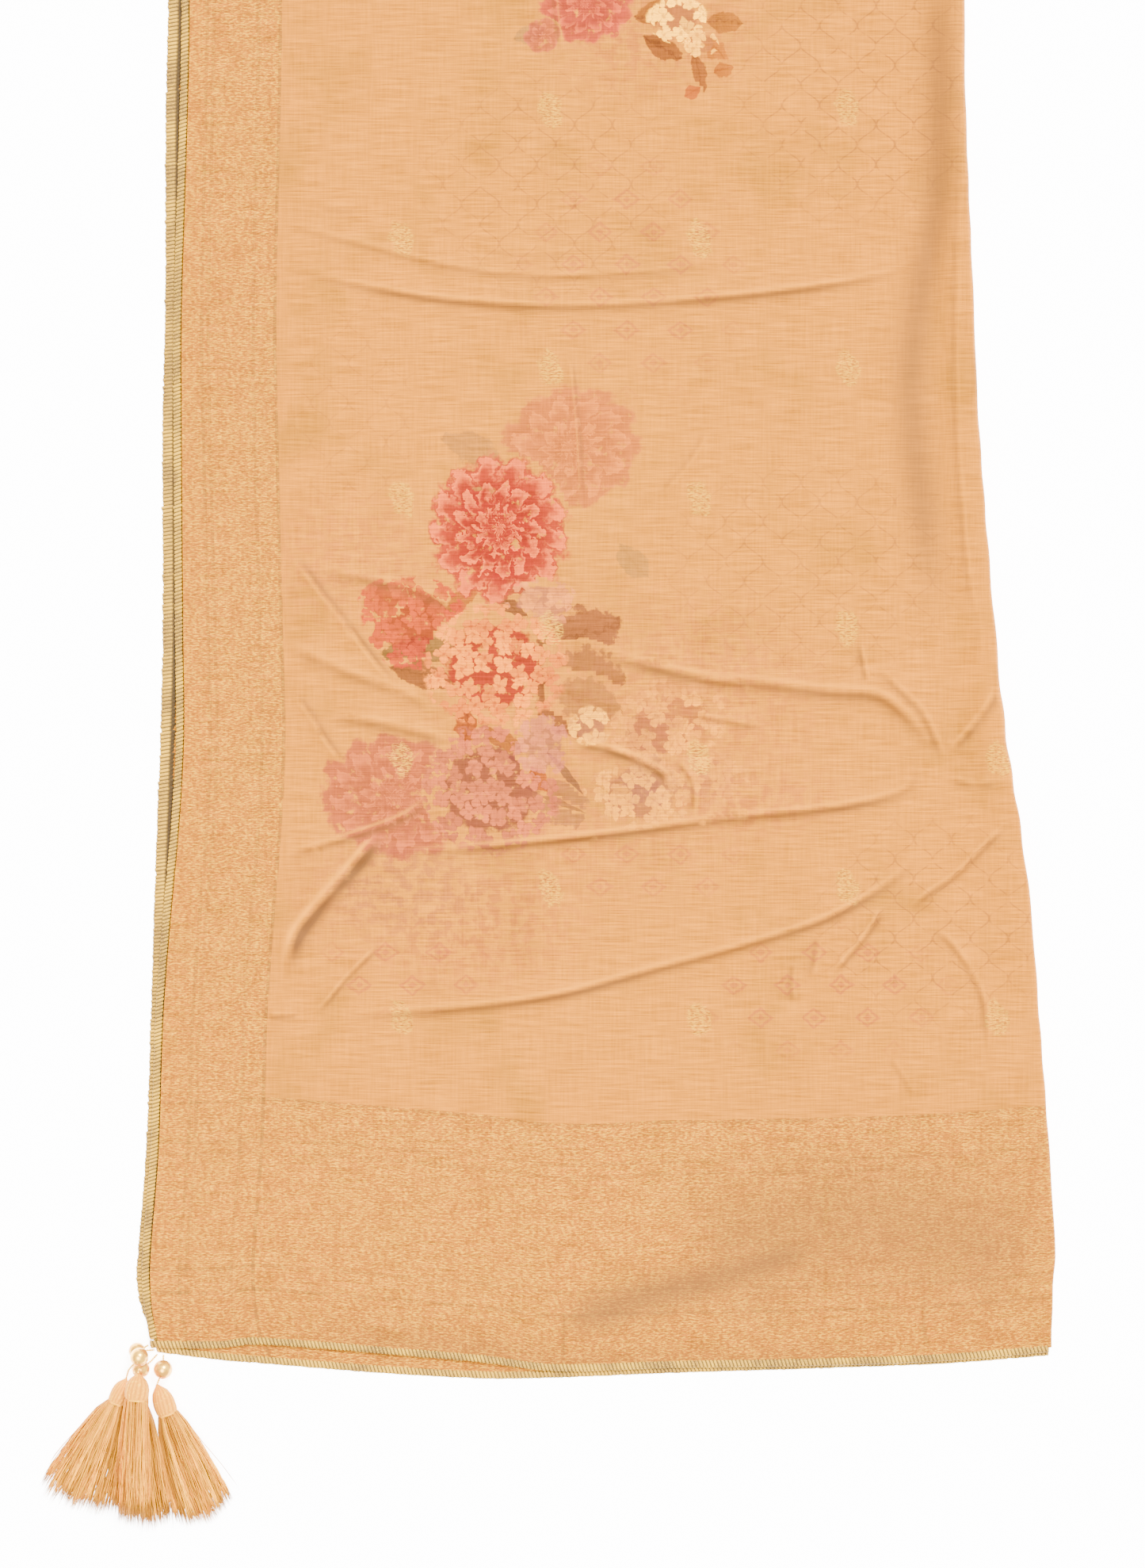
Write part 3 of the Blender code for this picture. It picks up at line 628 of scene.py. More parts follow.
def printed_leaf(add, under, ragged):
    """Leaf from its foot at 0 to its tip at 1 on X, one half width on either side on Y."""
    local = add("SeparateXYZ", add("UVMap", uv_map="leaf"))
    deep = add("Attribute", attribute_name="leaf_deep").outputs
    light = add("Attribute", attribute_name="leaf_light").outputs
    along, beside = local.outputs["X"], local.outputs["Y"]
    left = add("Math SUBTRACT", 1.0, along)
    bulge = add("Math MULTIPLY", along, left)
    raised = add("Math MULTIPLY", bulge, 4.0)
    shift = add("Math MULTIPLY_ADD", ragged, 1.1, -0.55)
    swung = add("Math ADD", beside, shift)
    width = add("Math ABSOLUTE", swung)
    inside = add("Math SUBTRACT", raised, width)
    mask = add("MapRange", inside, 0.0, 0.16, **EASED)
    vein = add("MapRange", width, 0.0, 0.18, **EASED)
    fade = add("MapRange", along, 0.0, 0.9, **EASED)
    slanted = add("Math MULTIPLY", along, 11.0)
    ribs = add("Math FRACT", add("Math MULTIPLY_ADD", width, -2.6, slanted))
    tone = add("Math MULTIPLY_ADD", fade, 0.5, vein)
    ribbed = add("Math MULTIPLY_ADD", ribs, 0.5, tone)
    eased = add("Math MULTIPLY", ribbed, 0.55, use_clamp=True)
    colour = add("Mix", eased, deep["Color"], light["Color"], **COLOUR)
    amount = add("Math MULTIPLY", mask, deep["Alpha"])
    return add("Mix", amount, under, colour, **COLOUR)


def printed_bloom(add, under, place, blot):
    """Flowers on a radius of 1: full-petalled rosettes, whose rows of scalloped petals are dark at
    the foot and pale at the tip, and heads of small four-petalled flowers, each with a dark eye."""
    deep = add("Attribute", attribute_name="bloom_deep").outputs
    light = add("Attribute", attribute_name="bloom_light").outputs
    shape = add("SeparateXYZ", add("Attribute", attribute_name="bloom_shape"))
    offset = add("VectorMath SUBTRACT", blot.outputs["Color"], (0.5, 0.5, 0.5))
    moved = add("VectorMath MULTIPLY_ADD", offset, (0.28, 0.28, 0.0), add("UVMap", uv_map="bloom"))
    parts = add("SeparateXYZ", moved)
    radius = add("VectorMath LENGTH", moved).outputs["Value"]
    angle = add("Math ARCTAN2", parts.outputs["Y"], parts.outputs["X"])

    # Rosette: count of petals round on X of the shape, and how many rows deep on Y.
    turns = add("Math MULTIPLY", angle, shape.outputs["X"])
    eased = add("Math POWER", radius, 0.75)
    rows = add("Math MULTIPLY", eased, shape.outputs["Y"])
    twisted = add("Math MULTIPLY_ADD", rows, 2.4, turns)
    half = add("Math MULTIPLY", twisted, 0.5)
    lobes = add("Math ABSOLUTE", add("Math SINE", half))
    pushed = add("Math MULTIPLY_ADD", lobes, -0.75, rows)
    pale = add("MapRange", add("Math FRACT", pushed), 0.3, 1.0, **EASED)
    edge = add("MapRange", lobes, 0.0, 0.5, **EASED)
    tone = add("Math MULTIPLY", pale, edge)
    rim = add("MapRange", radius, 0.45, 1.05, **EASED)
    rose_tone = add("Math MULTIPLY_ADD", rim, 0.3, tone, use_clamp=True)
    scallop = add("Math MULTIPLY_ADD", lobes, -0.12, radius)
    rose_mask = add("MapRange", scallop, 0.90, 0.80, **EASED)

    # Head of small flowers: one to each 8 mm cell, its petals turned at random.
    shaken = add("VectorMath MULTIPLY_ADD", offset, (5.0, 5.0, 0.0), place)
    cells = add("TexVoronoi", shaken, named={"Scale": FLORET_SCALE, "Randomness": 0.9},
                voronoi_dimensions="2D")
    local = add("VectorMath SUBTRACT", shaken, cells.outputs["Position"])
    sides = add("SeparateXYZ", local)
    size = add("VectorMath LENGTH", local).outputs["Value"]
    away = add("Math MULTIPLY", size, FLORET_SCALE)
    bearing = add("Math ARCTAN2", sides.outputs["Y"], sides.outputs["X"])
    spin = add("SeparateColor", cells.outputs["Color"])
    turned = add("Math MULTIPLY_ADD", spin.outputs["Red"], 3.0, bearing)
    doubled = add("Math MULTIPLY", turned, 2.0)
    petals = add("Math ABSOLUTE", add("Math SINE", doubled))
    reach = add("Math MULTIPLY_ADD", petals, 0.26, 0.36)
    inner = add("Math SUBTRACT", reach, away)
    petal = add("MapRange", inner, -0.03, 0.06, **EASED)
    eye = add("MapRange", away, 0.17, 0.05, **EASED)
    cleft = add("MapRange", petals, 0.25, 0.02, **EASED)
    marked = add("Math MAXIMUM", eye, cleft)
    dimmed = add("Math MULTIPLY_ADD", marked, -0.55, petal, use_clamp=True)
    uneven = add("Math MULTIPLY_ADD", spin.outputs["Green"], 0.6, 0.45)
    head_tone = add("Math MULTIPLY", dimmed, uneven)
    ragged = add("Math MULTIPLY_ADD", petal, -0.34, radius)
    head_mask = add("MapRange", ragged, 0.72, 0.62, **EASED)

    kind = light["Alpha"]
    tone = add("Mix", kind, head_tone, rose_tone, data_type="FLOAT")
    mask = add("Mix", kind, head_mask, rose_mask, data_type="FLOAT")
    patchy = add("MapRange", blot, 0.24, 0.40, **EASED)
    cover = add("Math MULTIPLY", mask, patchy)
    amount = add("Math MULTIPLY", cover, deep["Alpha"])
    colour = add("Mix", tone, deep["Color"], light["Color"], **COLOUR)
    return add("Mix", amount, under, colour, **COLOUR), cells.outputs["Distance"]


def border_lines(add, from_edge, from_hem, kept):
    """Thin lines where one stripe of a woven border meets the next, broken here and there."""
    total = 0.0
    for value, rows in ((from_edge, EDGE_LINES), (from_hem, HEM_LINES)):
        for middle, strength in rows:
            off = add("Math COMPARE", value, middle, 0.9)
            total = add("Math MULTIPLY_ADD", off, strength, total)
    return add("Math MULTIPLY", total, kept, use_clamp=True)


def silk_blend(settings):
    """Silk and cotton blend, plain woven, with gold thread woven into its borders, digitally
    printed: fine horizontal slubs, a soft low sheen, and gold glints where the borders are."""
    made, add, shader = new_material(
        "silk_blend_woven", 0.55, IOR=1.45, Specular_IOR_Level=0.12, Specular_Tint=linear("#ffb860"),
    )
    flat = add("UVMap", uv_map="cloth")
    edge = add("UVMap", uv_map="rim")
    place = add("VectorMath MULTIPLY", flat, IN_MM)
    rim = add("VectorMath MULTIPLY", edge, IN_MM)
    across, station, _ = add("SeparateXYZ", place).outputs
    from_edge, from_hem, _ = add("SeparateXYZ", rim).outputs
    flags = {name: add("Attribute", attribute_name=name).outputs
             for name in ("tone", "wash", "trellis", "sprig", "crease")}
    blot = add("TexNoise", place, 0.17, 3.0, 0.6, noise_dimensions="2D")
    cloudy = add("TexNoise", place, 0.021, 3.0, 0.6, noise_dimensions="2D")

    # Ground: gold peach, greyer in slow patches, pinker beside the left border.
    ground = add("Mix", flags["tone"]["Fac"], linear(settings.ground_cool),
                 linear(settings.ground_warm), **COLOUR)
    greyer = add("MapRange", cloudy, 0.5, 0.8, **EASED)
    ground = add("Mix", greyer, ground, linear("#945B0A"), **COLOUR)
    stain = add("MapRange", blot, 0.40, 0.62, **EASED)
    cover = add("Math MULTIPLY", stain, flags["wash"]["Alpha"])
    ground = add("Mix", cover, ground, flags["wash"]["Color"], **COLOUR)
    kept = add("MapRange", blot, 0.34, 0.56, **EASED)
    lines = add("Math MULTIPLY", trellis(add, across, station), flags["trellis"]["Fac"])
    ground = add("Mix", add("Math MULTIPLY", lines, kept), ground, linear("#754319"), **COLOUR)
    motif = add("Math MULTIPLY", lozenges(add, across, station, blot), flags["sprig"]["Fac"])
    ground = add("Mix", motif, ground, linear("#843821"), **COLOUR)

    # Printed flowers, laid over each other from the leaves up.
    colour = printed_leaf(add, ground, blot)
    colour, figure = printed_bloom(add, colour, place, blot)

    # Woven borders, all over with short slanting floats of gold, thicker in some figures. Real floats
    # are 0.3 mm wide, and are drawn about twice that so that they show.
    border_in = add("MapRange", from_edge, BORDER + BORDER_SOFT, BORDER - BORDER_SOFT, **EASED)
    panel_in = add("MapRange", from_hem, PANEL + BORDER_SOFT, PANEL - BORDER_SOFT, **EASED)
    woven_in = add("Math MAXIMUM", border_in, panel_in)
    duller = add("MapRange", cloudy, 0.35, 0.7, **EASED)
    gold_ground = add("Mix", duller, linear(settings.border_colour), linear("#94570A"), **COLOUR)
    tinged = add("MapRange", from_hem, 30.0, 6.0, 0.0, 0.6)
    gold_ground = add("Mix", tinged, gold_ground, linear("#84490A"), **COLOUR)
    colour = add("Mix", woven_in, colour, gold_ground, **COLOUR)
    slant = add("Mapping", place, None, (0.0, 0.0, math.radians(38)), (0.62, 2.3, 1.0))
    dashes = add("TexNoise", slant, 0.74, 2.0, 0.6, noise_dimensions="2D")
    lift = add("Math MULTIPLY_ADD", figure, -0.12, dashes)
    bright = add("MapRange", lift, 0.45, 0.58, **EASED)
    glints = add("Math MULTIPLY", bright, woven_in)
    sunk = add("Math MULTIPLY_ADD", figure, -0.1, dashes)

    # Gold buttis, 14 by 21 mm, staggered every 75 mm across and 65 mm along.
    wide, high, _ = cell_place(add, across, station, BUTTI_CELL, BUTTI_START)
    leaning = add("Math MULTIPLY_ADD", high, 0.16, wide)
    wide = add("Math MULTIPLY", leaning, 1 / BUTTI_HALF[0])
    high = add("Math MULTIPLY", high, 1 / BUTTI_HALF[1])
    spread = add("VectorMath LENGTH", add("CombineXYZ", wide, high, 0.0))
    outline = add("Math MULTIPLY_ADD", blot, 0.9, spread.outputs["Value"])
    figure_in = add("MapRange", outline, 1.42, 1.15, **EASED)
    flecks = add("MapRange", dashes, 0.45, 0.58, **EASED)
    speckled = add("Math MULTIPLY", figure_in, flecks)
    butti = add("Math SUBTRACT", speckled, woven_in, use_clamp=True)
    butti = add("Math MULTIPLY", butti, 0.8)
    gold = add("Math MAXIMUM", add("Math MULTIPLY", glints, 0.8), butti)
    motif_in = add("Math MAXIMUM", figure_in, woven_in)
    hollows = add("MapRange", sunk, 0.41, 0.31, **EASED)
    specks = add("Math MULTIPLY", hollows, motif_in)
    specks = add("Math MULTIPLY", specks, 0.5)
    colour = add("Mix", specks, colour, linear("#5F3910"), **COLOUR)
    colour = add("Mix", gold, colour, linear(settings.gold_thread), **COLOUR)
    dull = border_lines(add, from_edge, from_hem, kept)
    colour = add("Mix", dull, colour, linear("#654019"), **COLOUR)

    # Weave: slubs along the weft, 0.8 mm apart, drawn a little coarser than real so that they show.
    weft = add("VectorMath MULTIPLY", place, (0.045, 1.25, 0.0))
    slubs = add("TexNoise", weft, 1.0, 2.0, 0.7, noise_dimensions="2D")
    warp = add("VectorMath MULTIPLY", place, (1.1, 0.05, 0.0))
    ends = add("TexNoise", warp, 1.0, 1.0, 0.6, noise_dimensions="2D")
    woven = add("Math MULTIPLY_ADD", ends, 0.3, slubs)
    grain = add("MapRange", woven, 0.35, 0.95, 0.66, 1.34)
    grained = add("VectorMath SCALE", colour, grain)

    # Creases: painted shade browns a crease's steep side and a trough's floor, and a painted
    # highlight lightens a line on its easy side.
    depth = add("Math MULTIPLY", flags["crease"]["Fac"], settings.painted_crease_shade, use_clamp=True)
    colour = add("Mix", depth, grained, linear("#643F1F"), **COLOUR)
    # Painted highlight where the crease value is below zero.
    edge_lit = add("Math MULTIPLY", flags["crease"]["Fac"], -0.8, use_clamp=True)
    colour = add("Mix", edge_lit, colour, linear("#C87C0A"), **COLOUR)
    rough = add("MapRange", gold, 0.0, 1.0, 0.58, 0.36)
    bump = add("Bump", named={"Height": woven, "Strength": 0.3, "Distance": 0.25 * MM})
    feed(shader, Base_Color=colour, Roughness=rough, Normal=bump)
    return made


def wrapped_polyester(settings):
    """Polyester overlock thread, twisted and wrapped tight: khaki ridges with painted shade in the
    grooves between them and under the upper ply's edge, and a slight silky shine."""
    made, add, shader = new_material("polyester_thread_wrapped", 0.55, IOR=1.5, Specular_IOR_Level=0.2,
                                      Specular_Tint=linear("#ffd9a0"))
    spot = add("TexCoord").outputs["Object"]
    groove = add("Attribute", attribute_name="groove").outputs["Fac"]
    fibres = add("TexNoise", spot, 2600.0, 2.0)
    stretch = add("TexNoise", spot, 55.0, 3.0, 0.7)
    paler = add("MapRange", stretch, 0.35, 0.68, **EASED)
    thread = add("Mix", paler, linear(settings.thread_dark), linear(settings.thread_light), **COLOUR)
    # Painted highlights on the fibres, at random.
    lit = add("MapRange", fibres, 0.45, 0.75, **EASED)
    thread = add("Mix", lit, thread, linear("#D9AB0A"), **COLOUR)
    # Painted shade in the valleys between wraps and under the upper ply's edge.
    colour = add("Mix", groove, thread, linear(settings.painted_groove_shade), **COLOUR)
    bump = add("Bump", named={"Height": fibres, "Strength": 0.3, "Distance": 0.15 * MM})
    feed(shader, Base_Color=colour, Normal=bump)
    return made


def tassel_floss(settings):
    """Rayon embroidery floss, loosely twisted: bright peach gold with a long soft shine, and painted
    shade where a lock lies under its neighbours."""
    made, add, shader = new_material("rayon_floss", 0.45, IOR=1.5, Specular_IOR_Level=0.12,
                                      Specular_Tint=linear("#ffb050"))
    tint = add("Attribute", attribute_name="tint").outputs["Fac"]
    shade = add("Attribute", attribute_name="groove").outputs["Fac"]
    spot = add("TexCoord").outputs["Object"]
    fine = add("TexNoise", spot, 900.0, 3.0)
    base = add("Mix", tint, linear(settings.floss_dark), linear(settings.floss_light), **COLOUR)
    # Painted highlights on the fibres, at random.
    lit = add("MapRange", fine, 0.5, 0.8, **EASED)
    base = add("Mix", lit, base, linear("#f8bc24"), **COLOUR)
    # Painted shade colour: strands under others, between locks, near the neck and in the head's grooves.
    colour = add("Mix", shade, base, linear("#6c3a0e"), **COLOUR)
    bump = add("Bump", named={"Height": fine, "Strength": 0.25, "Distance": 0.12 * MM})
    feed(shader, Base_Color=colour, Normal=bump)
    return made


def pearl_lacquer(settings):
    """Glass bead with pearl lacquer, dipped: satin gold with a clear gloss coat."""
    made, add, shader = new_material("glass_pearl_lacquer", 0.3, IOR=1.5, Metallic=0.75,
                                      Coat_Weight=0.3, Coat_Roughness=0.08)
    spot = add("TexCoord").outputs["Object"]
    cloud = add("TexNoise", spot, 240.0, 3.0)
    pale = add("MapRange", cloud, 0.4, 0.65, **EASED)
    colour = add("Mix", pale, linear(settings.pearl_dark), linear(settings.pearl_light), **COLOUR)
    feed(shader, Base_Color=colour)
    return made


def zari(settings):
    """Zari, flat gilt strip wound on a core: bright gold, crossed by fine turns."""
    made, add, shader = new_material("gilt_zari_thread", 0.35, Metallic=0.8)
    spot = add("TexCoord").outputs["Object"]
    turns = add("TexNoise", spot, 1800.0, 2.0)
    colour = add("Mix", turns, linear("#dca41c"), linear(settings.zari_colour), **COLOUR)
    bump = add("Bump", named={"Height": turns, "Strength": 0.5, "Distance": 0.1 * MM})
    feed(shader, Base_Color=colour, Normal=bump)
    return made


# Cloth

def slow_tone(spots):
    """Slow drift of the ground's colour over the cloth, from 0 to 1. Spots are in mm."""
    u, v = spots[:, 0], spots[:, 1]
    bend = np.sin(v / 97 + 1.1 * np.sin(u / 128) + 0.6)
    drift = 0.5 + 0.26 * np.sin(u / 61 + 1.7 * np.sin(v / 143)) * bend
    drift += 0.12 * np.sin(u / 23 - v / 49) * np.sin(v / 31 + u / 87)
    drift += 0.22 * smooth((40 - u) / 150) - 0.1 * smooth((v - 420) / 200)
    return np.clip(drift, 0, 1)


def spray_shift(spots):
    """What takes places to those of the first spray of flowers, in mm."""
    number = np.floor((spots[:, 1] - SPRAY_START) / SPRAY_REPEAT)
    return np.column_stack([np.where(number % 2 == 1, -SPRAY_SHIFT, 0.0), -number * SPRAY_REPEAT])


def print_place(row, spots):
    """Places within a print, in shares of its reach, and how far out they are."""
    turn = math.radians(row.turn)
    offset = spots - (row.x, row.s)
    axes = np.array(((math.cos(turn), -math.sin(turn)), (math.sin(turn), math.cos(turn))))
    local = offset @ axes / (row.reach_x, row.reach_y)
    if row.kind == "leaf":
        return local, np.hypot((local[:, 0] - 0.5) / 0.56, local[:, 1] / 1.2)
    return local, np.hypot(local[:, 0], local[:, 1])


def topmost_print(kinds, spots):
    """For each place, the number of the print of these kinds that lies on top there, or -1."""
    chosen = np.full(len(spots), -1)
    best = np.full(len(spots), PRINT_MARGIN)
    for i, row in enumerate(PRINTS):
        if row.kind in kinds:
            _, out = print_place(row, spots)
            taken = (out < 1) | (out < best)
            chosen[taken], best[taken] = i, out[taken]
    return chosen


def washes(spots):
    """Soft stains as RGBA for each place."""
    made = np.zeros((len(spots), 4))
    made[:, :3] = linear("#92461B")[:3]
    for row in PRINTS:
        if row.kind == "wash":
            _, out = print_place(row, spots)
            share = smooth(1.25 - out) * row.strength
            colour = np.array(linear(row.deep)[:3])
            made[:, :3] += (colour - made[:, :3]) * share[:, None]
            made[:, 3] = np.maximum(made[:, 3], share)
    return made


def patch_share(kind, spots):
    """How strongly a faint printed ground shows at each place."""
    share = np.zeros(len(spots))
    for row in PATCHES:
        if row.kind == kind:
            out = np.hypot((spots[:, 0] - row.x) / row.reach_x, (spots[:, 1] - row.s) / row.reach_s)
            share = np.maximum(share, row.strength * smooth((1.3 - out) / 0.7))
    return share


def paint_points(bm, spots, shade):
    """Keep on the points what changes slowly over the cloth. Spots are in mm."""
    local = spots + spray_shift(spots)
    # The crease value is painted shade, and below zero a painted highlight.
    floats = {"tone": slow_tone(spots), "crease": shade, "trellis": patch_share("trellis", local),
              "sprig": patch_share("sprig", local)}
    layers = [(bm.verts.layers.float.new(name), values) for name, values in floats.items()]
    wash_layer = bm.verts.layers.float_color.new("wash")
    stains = washes(local)
    for i, vert in enumerate(bm.verts):
        for layer, values in layers:
            vert[layer] = values[i]
        vert[wash_layer] = stains[i]


def paint_prints(bm, spots, strength):
    """Give each face the topmost leaf and flower on it: places in it, colours and shape."""
    corners = [np.array([vert.index for vert in face.verts]) for face in bm.faces]
    middles = np.array([spots[i].mean(0) for i in corners])
    shifts = spray_shift(middles)
    layers = {}
    for name in PRINT_LAYERS:
        colours = [bm.faces.layers.float_color.new(f"{name}_{part}") for part in ("deep", "light")]
        shape = bm.faces.layers.float_vector.new(f"{name}_shape") if name == "bloom" else None
        layers[name] = (bm.loops.layers.uv.new(name), *colours, shape)
    for name, kinds in PRINT_LAYERS.items():
        chosen = topmost_print(kinds, middles + shifts)
        place, deep, light, shape = layers[name]
        for i, face in enumerate(bm.faces):
            if chosen[i] < 0:
                face[deep] = (0.0, 0.0, 0.0, 0.0)
                continue
            row = PRINTS[chosen[i]]
            face[deep] = (*linear(row.deep)[:3], row.strength * strength)
            face[light] = (*linear(row.light)[:3], float(row.kind == "rosette"))
            if shape:
                face[shape] = (row.count, row.rows, 0.0)
            local, _ = print_place(row, spots[corners[i]] + shifts[i])
            for loop, uv in zip(face.loops, local):
                loop[place].uv = uv


def cloth_grid(bm):
    """Flat grid of the whole cut: X counts columns and Y is the station, finer near the creases."""
    columns = UPPER_COLUMNS + TURN_COLUMNS + LOWER_COLUMNS
    rows = NEAR_ROWS + FAR_ROWS
    bmesh.ops.create_grid(bm, x_segments=columns, y_segments=rows, size=0.5)
    stations = np.concatenate([
        np.linspace(0, NEAR_STRETCH, NEAR_ROWS + 1),
        np.linspace(NEAR_STRETCH, LENGTH, FAR_ROWS + 1)[1:],
    ])
    for vert in bm.verts:
        column = round((vert.co.x + 0.5) * columns)
        row = round((vert.co.y + 0.5) * rows)
        vert.co = (column, stations[row], 0.0)
    for reach in (None, *CREASE_REACHES):
        bm.faces.ensure_lookup_table()
        middles = np.array([face.calc_center_median()[:2] for face in bm.faces])
        chosen = near_crease(middles, reach) if reach else under_print(middles)
        edges = {edge for i in np.flatnonzero(chosen) for edge in bm.faces[i].edges}
        bmesh.ops.subdivide_edges(bm, edges=list(edges), cuts=1, use_grid_fill=True)


def fold_line(stations):
    """Outermost line of the soft fold, which is slightly uneven where the cloth is bunched."""
    s = stations / MM
    ripple = np.sin(s / 5.3 + 1.4 * np.sin(s / 23)) * (0.35 + 0.65 * np.exp(-(((s - 310) / 90) ** 2)))
    return section("fold", stations) - 0.45 * MM * (1 + ripple)


def upper_across(columns, stations):
    """Place across of columns of the upper ply, from its edge to where the fold turns down."""
    edge, fold = section("upper_edge", stations), fold_line(stations)
    turn = fold - section("crest", stations) / 2
    return edge + (turn - edge) * columns / UPPER_COLUMNS


def under_print(middles):
    """Which points of the flat grid lie under a leaf or a flower of the upper ply."""
    spots = np.column_stack([upper_across(middles[:, 0], middles[:, 1]), middles[:, 1]]) / MM
    kinds = [kind for pair in PRINT_LAYERS.values() for kind in pair]
    return (topmost_print(kinds, spots + spray_shift(spots)) >= 0) & (middles[:, 0] < UPPER_COLUMNS)


def near_crease(middles, reach):
    """Which points of the flat grid lie within reach of a sharp crease of the upper ply."""
    spots = np.column_stack([upper_across(middles[:, 0], middles[:, 1]), middles[:, 1]])
    upper = middles[:, 0] < UPPER_COLUMNS
    chosen = np.zeros(len(middles), bool)
    for crease in CREASES:
        if crease.height > 0:
            which, *_ = crease_offsets(crease, spots, reach)
            chosen[which] = True
    return chosen & upper


def make_cloth(settings):
    """The whole cloth in one sheet: over the top, round the soft fold and back underneath."""
    bm = bmesh.new()
    cloth_grid(bm)
    flat = np.array([vert.co[:2] for vert in bm.verts])
    columns, stations = flat[:, 0], flat[:, 1]
    fold, crest = fold_line(stations), section("crest", stations)
    radius = crest / 2
    lower_start = section("lower_edge", stations) + BAND_WIDTH - LOWER_TUCK

    across = upper_across(np.minimum(columns, UPPER_COLUMNS), stations)
    spots = np.column_stack([across, stations])
    relief, shade = crease_relief(spots, settings.crease_depth)
    roll = smooth((across - (fold - radius - ROLL_WIDTH)) / ROLL_WIDTH)
    edge_calm = smooth((across - section("upper_edge", stations)) / EDGE_CALM)
    hem_calm = smooth(stations / HEM_CALM) * smooth((LENGTH - stations) / HEM_CALM)
    lift = (relief + soft_swell(across, stations)) * edge_calm * (HEM_LIFT + (1 - HEM_LIFT) * hem_calm)
    height = FLAT_TOP + (crest - FLAT_TOP) * roll + lift * (1 - ROLL_CALM * roll)
    height = np.maximum(height, FLAT_TOP - DEEPEST_DIP)

    turn = np.clip((columns - UPPER_COLUMNS) / TURN_COLUMNS, 0, 1) * math.pi
    turning = columns > UPPER_COLUMNS
    under = np.clip((columns - UPPER_COLUMNS - TURN_COLUMNS) / LOWER_COLUMNS, 0, 1)
    x = np.where(turning, fold - radius + radius * np.sin(turn), across)
    z = np.where(turning, radius + radius * np.cos(turn), height)
    lying = columns > UPPER_COLUMNS + TURN_COLUMNS
    x = np.where(lying, fold - radius + (lower_start - fold + radius) * under, x)
    z = np.where(lying, LOWER_HEIGHT * smooth(under * 12), z)
    y_upper = length_place("upper", np.minimum(x, fold), stations, HEM_TUCK)
    y_lower = length_place("lower", x, stations, HEM_TUCK)
    share = np.where(lying, smooth(under * 3), 0.0)
    y = y_upper + (y_lower - y_upper) * share

    edge_line = np.where(lying, lower_start, section("upper_edge", stations))
    rolled_in = BORDER_DRIFT * smooth((stations - DRIFT_START) / DRIFT_LENGTH) - BORDER_OUT
    from_edge = x - edge_line + rolled_in + np.where(turning & ~lying, radius * turn, 0)
    hem_near = y + LENGTH / 2 + hem_drop("upper", x)
    hem_far = LENGTH / 2 + hem_drop("upper", x) - y
    from_hem = np.minimum(hem_near, hem_far)

    maps = [bm.loops.layers.uv.new(name) for name in ("cloth", "rim")]
    bm.verts.index_update()
    places = np.column_stack([x, stations]) / MM
    paint_points(bm, places, np.where(turning, 0.0, shade))
    paint_prints(bm, places, settings.print_strength)
    for i, vert in enumerate(bm.verts):
        vert.co = (x[i], y[i], z[i])
    pairs = (np.column_stack([x, stations]), np.column_stack([from_edge, from_hem]))
    for face in bm.faces:
        for loop in face.loops:
            for layer, pair in zip(maps, pairs):
                loop[layer].uv = pair[loop.vert.index]
    bmesh.ops.recalc_face_normals(bm, faces=bm.faces)
    sheet = to_object("cloth", bm, silk_blend(settings))
    dress(sheet, "silk_blend_cloth", "cloth_upper", "cloth_lower")


# Edging

# Round a wrap: beside (half widths), up (heights), and how deep in the upper ply's painted shadow it lies.
WRAP_OUTLINE = (
    (1.0, 0.42, 1.0), (0.86, 0.82, 1.0), (0.46, 1.0, 1.0), (0.34, 1.0, 0.75), (0.16, 1.0, 0.0),
    (-0.42, 1.0, 0.0), (-0.86, 0.82, 0.0), (-1.0, 0.42, 0.15), (-0.6, 0.0, 0.5), (0.6, 0.0, 1.0),
)
WRAP_RINGS = 3


def wrapped_edging(name, place, run, width, low, height, settings, finish, node):
    """Thread wrapped round an edge. Place gives X and Y for a distance along and one beside."""
    wraps = round(run / settings.wrap_pitch)
    steps = np.arange(WRAP_RINGS * wraps + 1)
    valley = (steps % WRAP_RINGS == 0).astype(float)
    along = steps / (WRAP_RINGS * wraps) * run
    outline = np.array(WRAP_OUTLINE)
    rng = np.random.default_rng(len(name) + wraps)
    loose = np.repeat(rng.normal(0, 0.04, wraps + 1), WRAP_RINGS)[: len(steps)]
    swell = 1 - 0.22 * valley + loose
    beside = outline[:, 0][None, :] * (width / 2) * (1 - 0.07 * valley + loose)[:, None]
    slant = settings.wrap_slant * settings.wrap_pitch * outline[:, 0][None, :]
    at = np.clip(along[:, None] + slant, 0, run)
    x, y = place(at, beside)
    z = low + outline[:, 1][None, :] * height * swell[:, None]
    # Painted shadow of the upper ply's edge, on the wide lower band only; wrap valleys are painted in shade
    # too.
    shadow = outline[:, 2][None, :] * (width == BAND_WIDTH)
    bm = bmesh.new()
    groove = bm.verts.layers.float.new("groove")
    tube(bm, np.stack([x, y, z], axis=-1), {groove: np.maximum(valley[:, None], shadow)})
    close_tubes(bm)
    dress(to_object(name, bm, finish), "edging_thread", node)


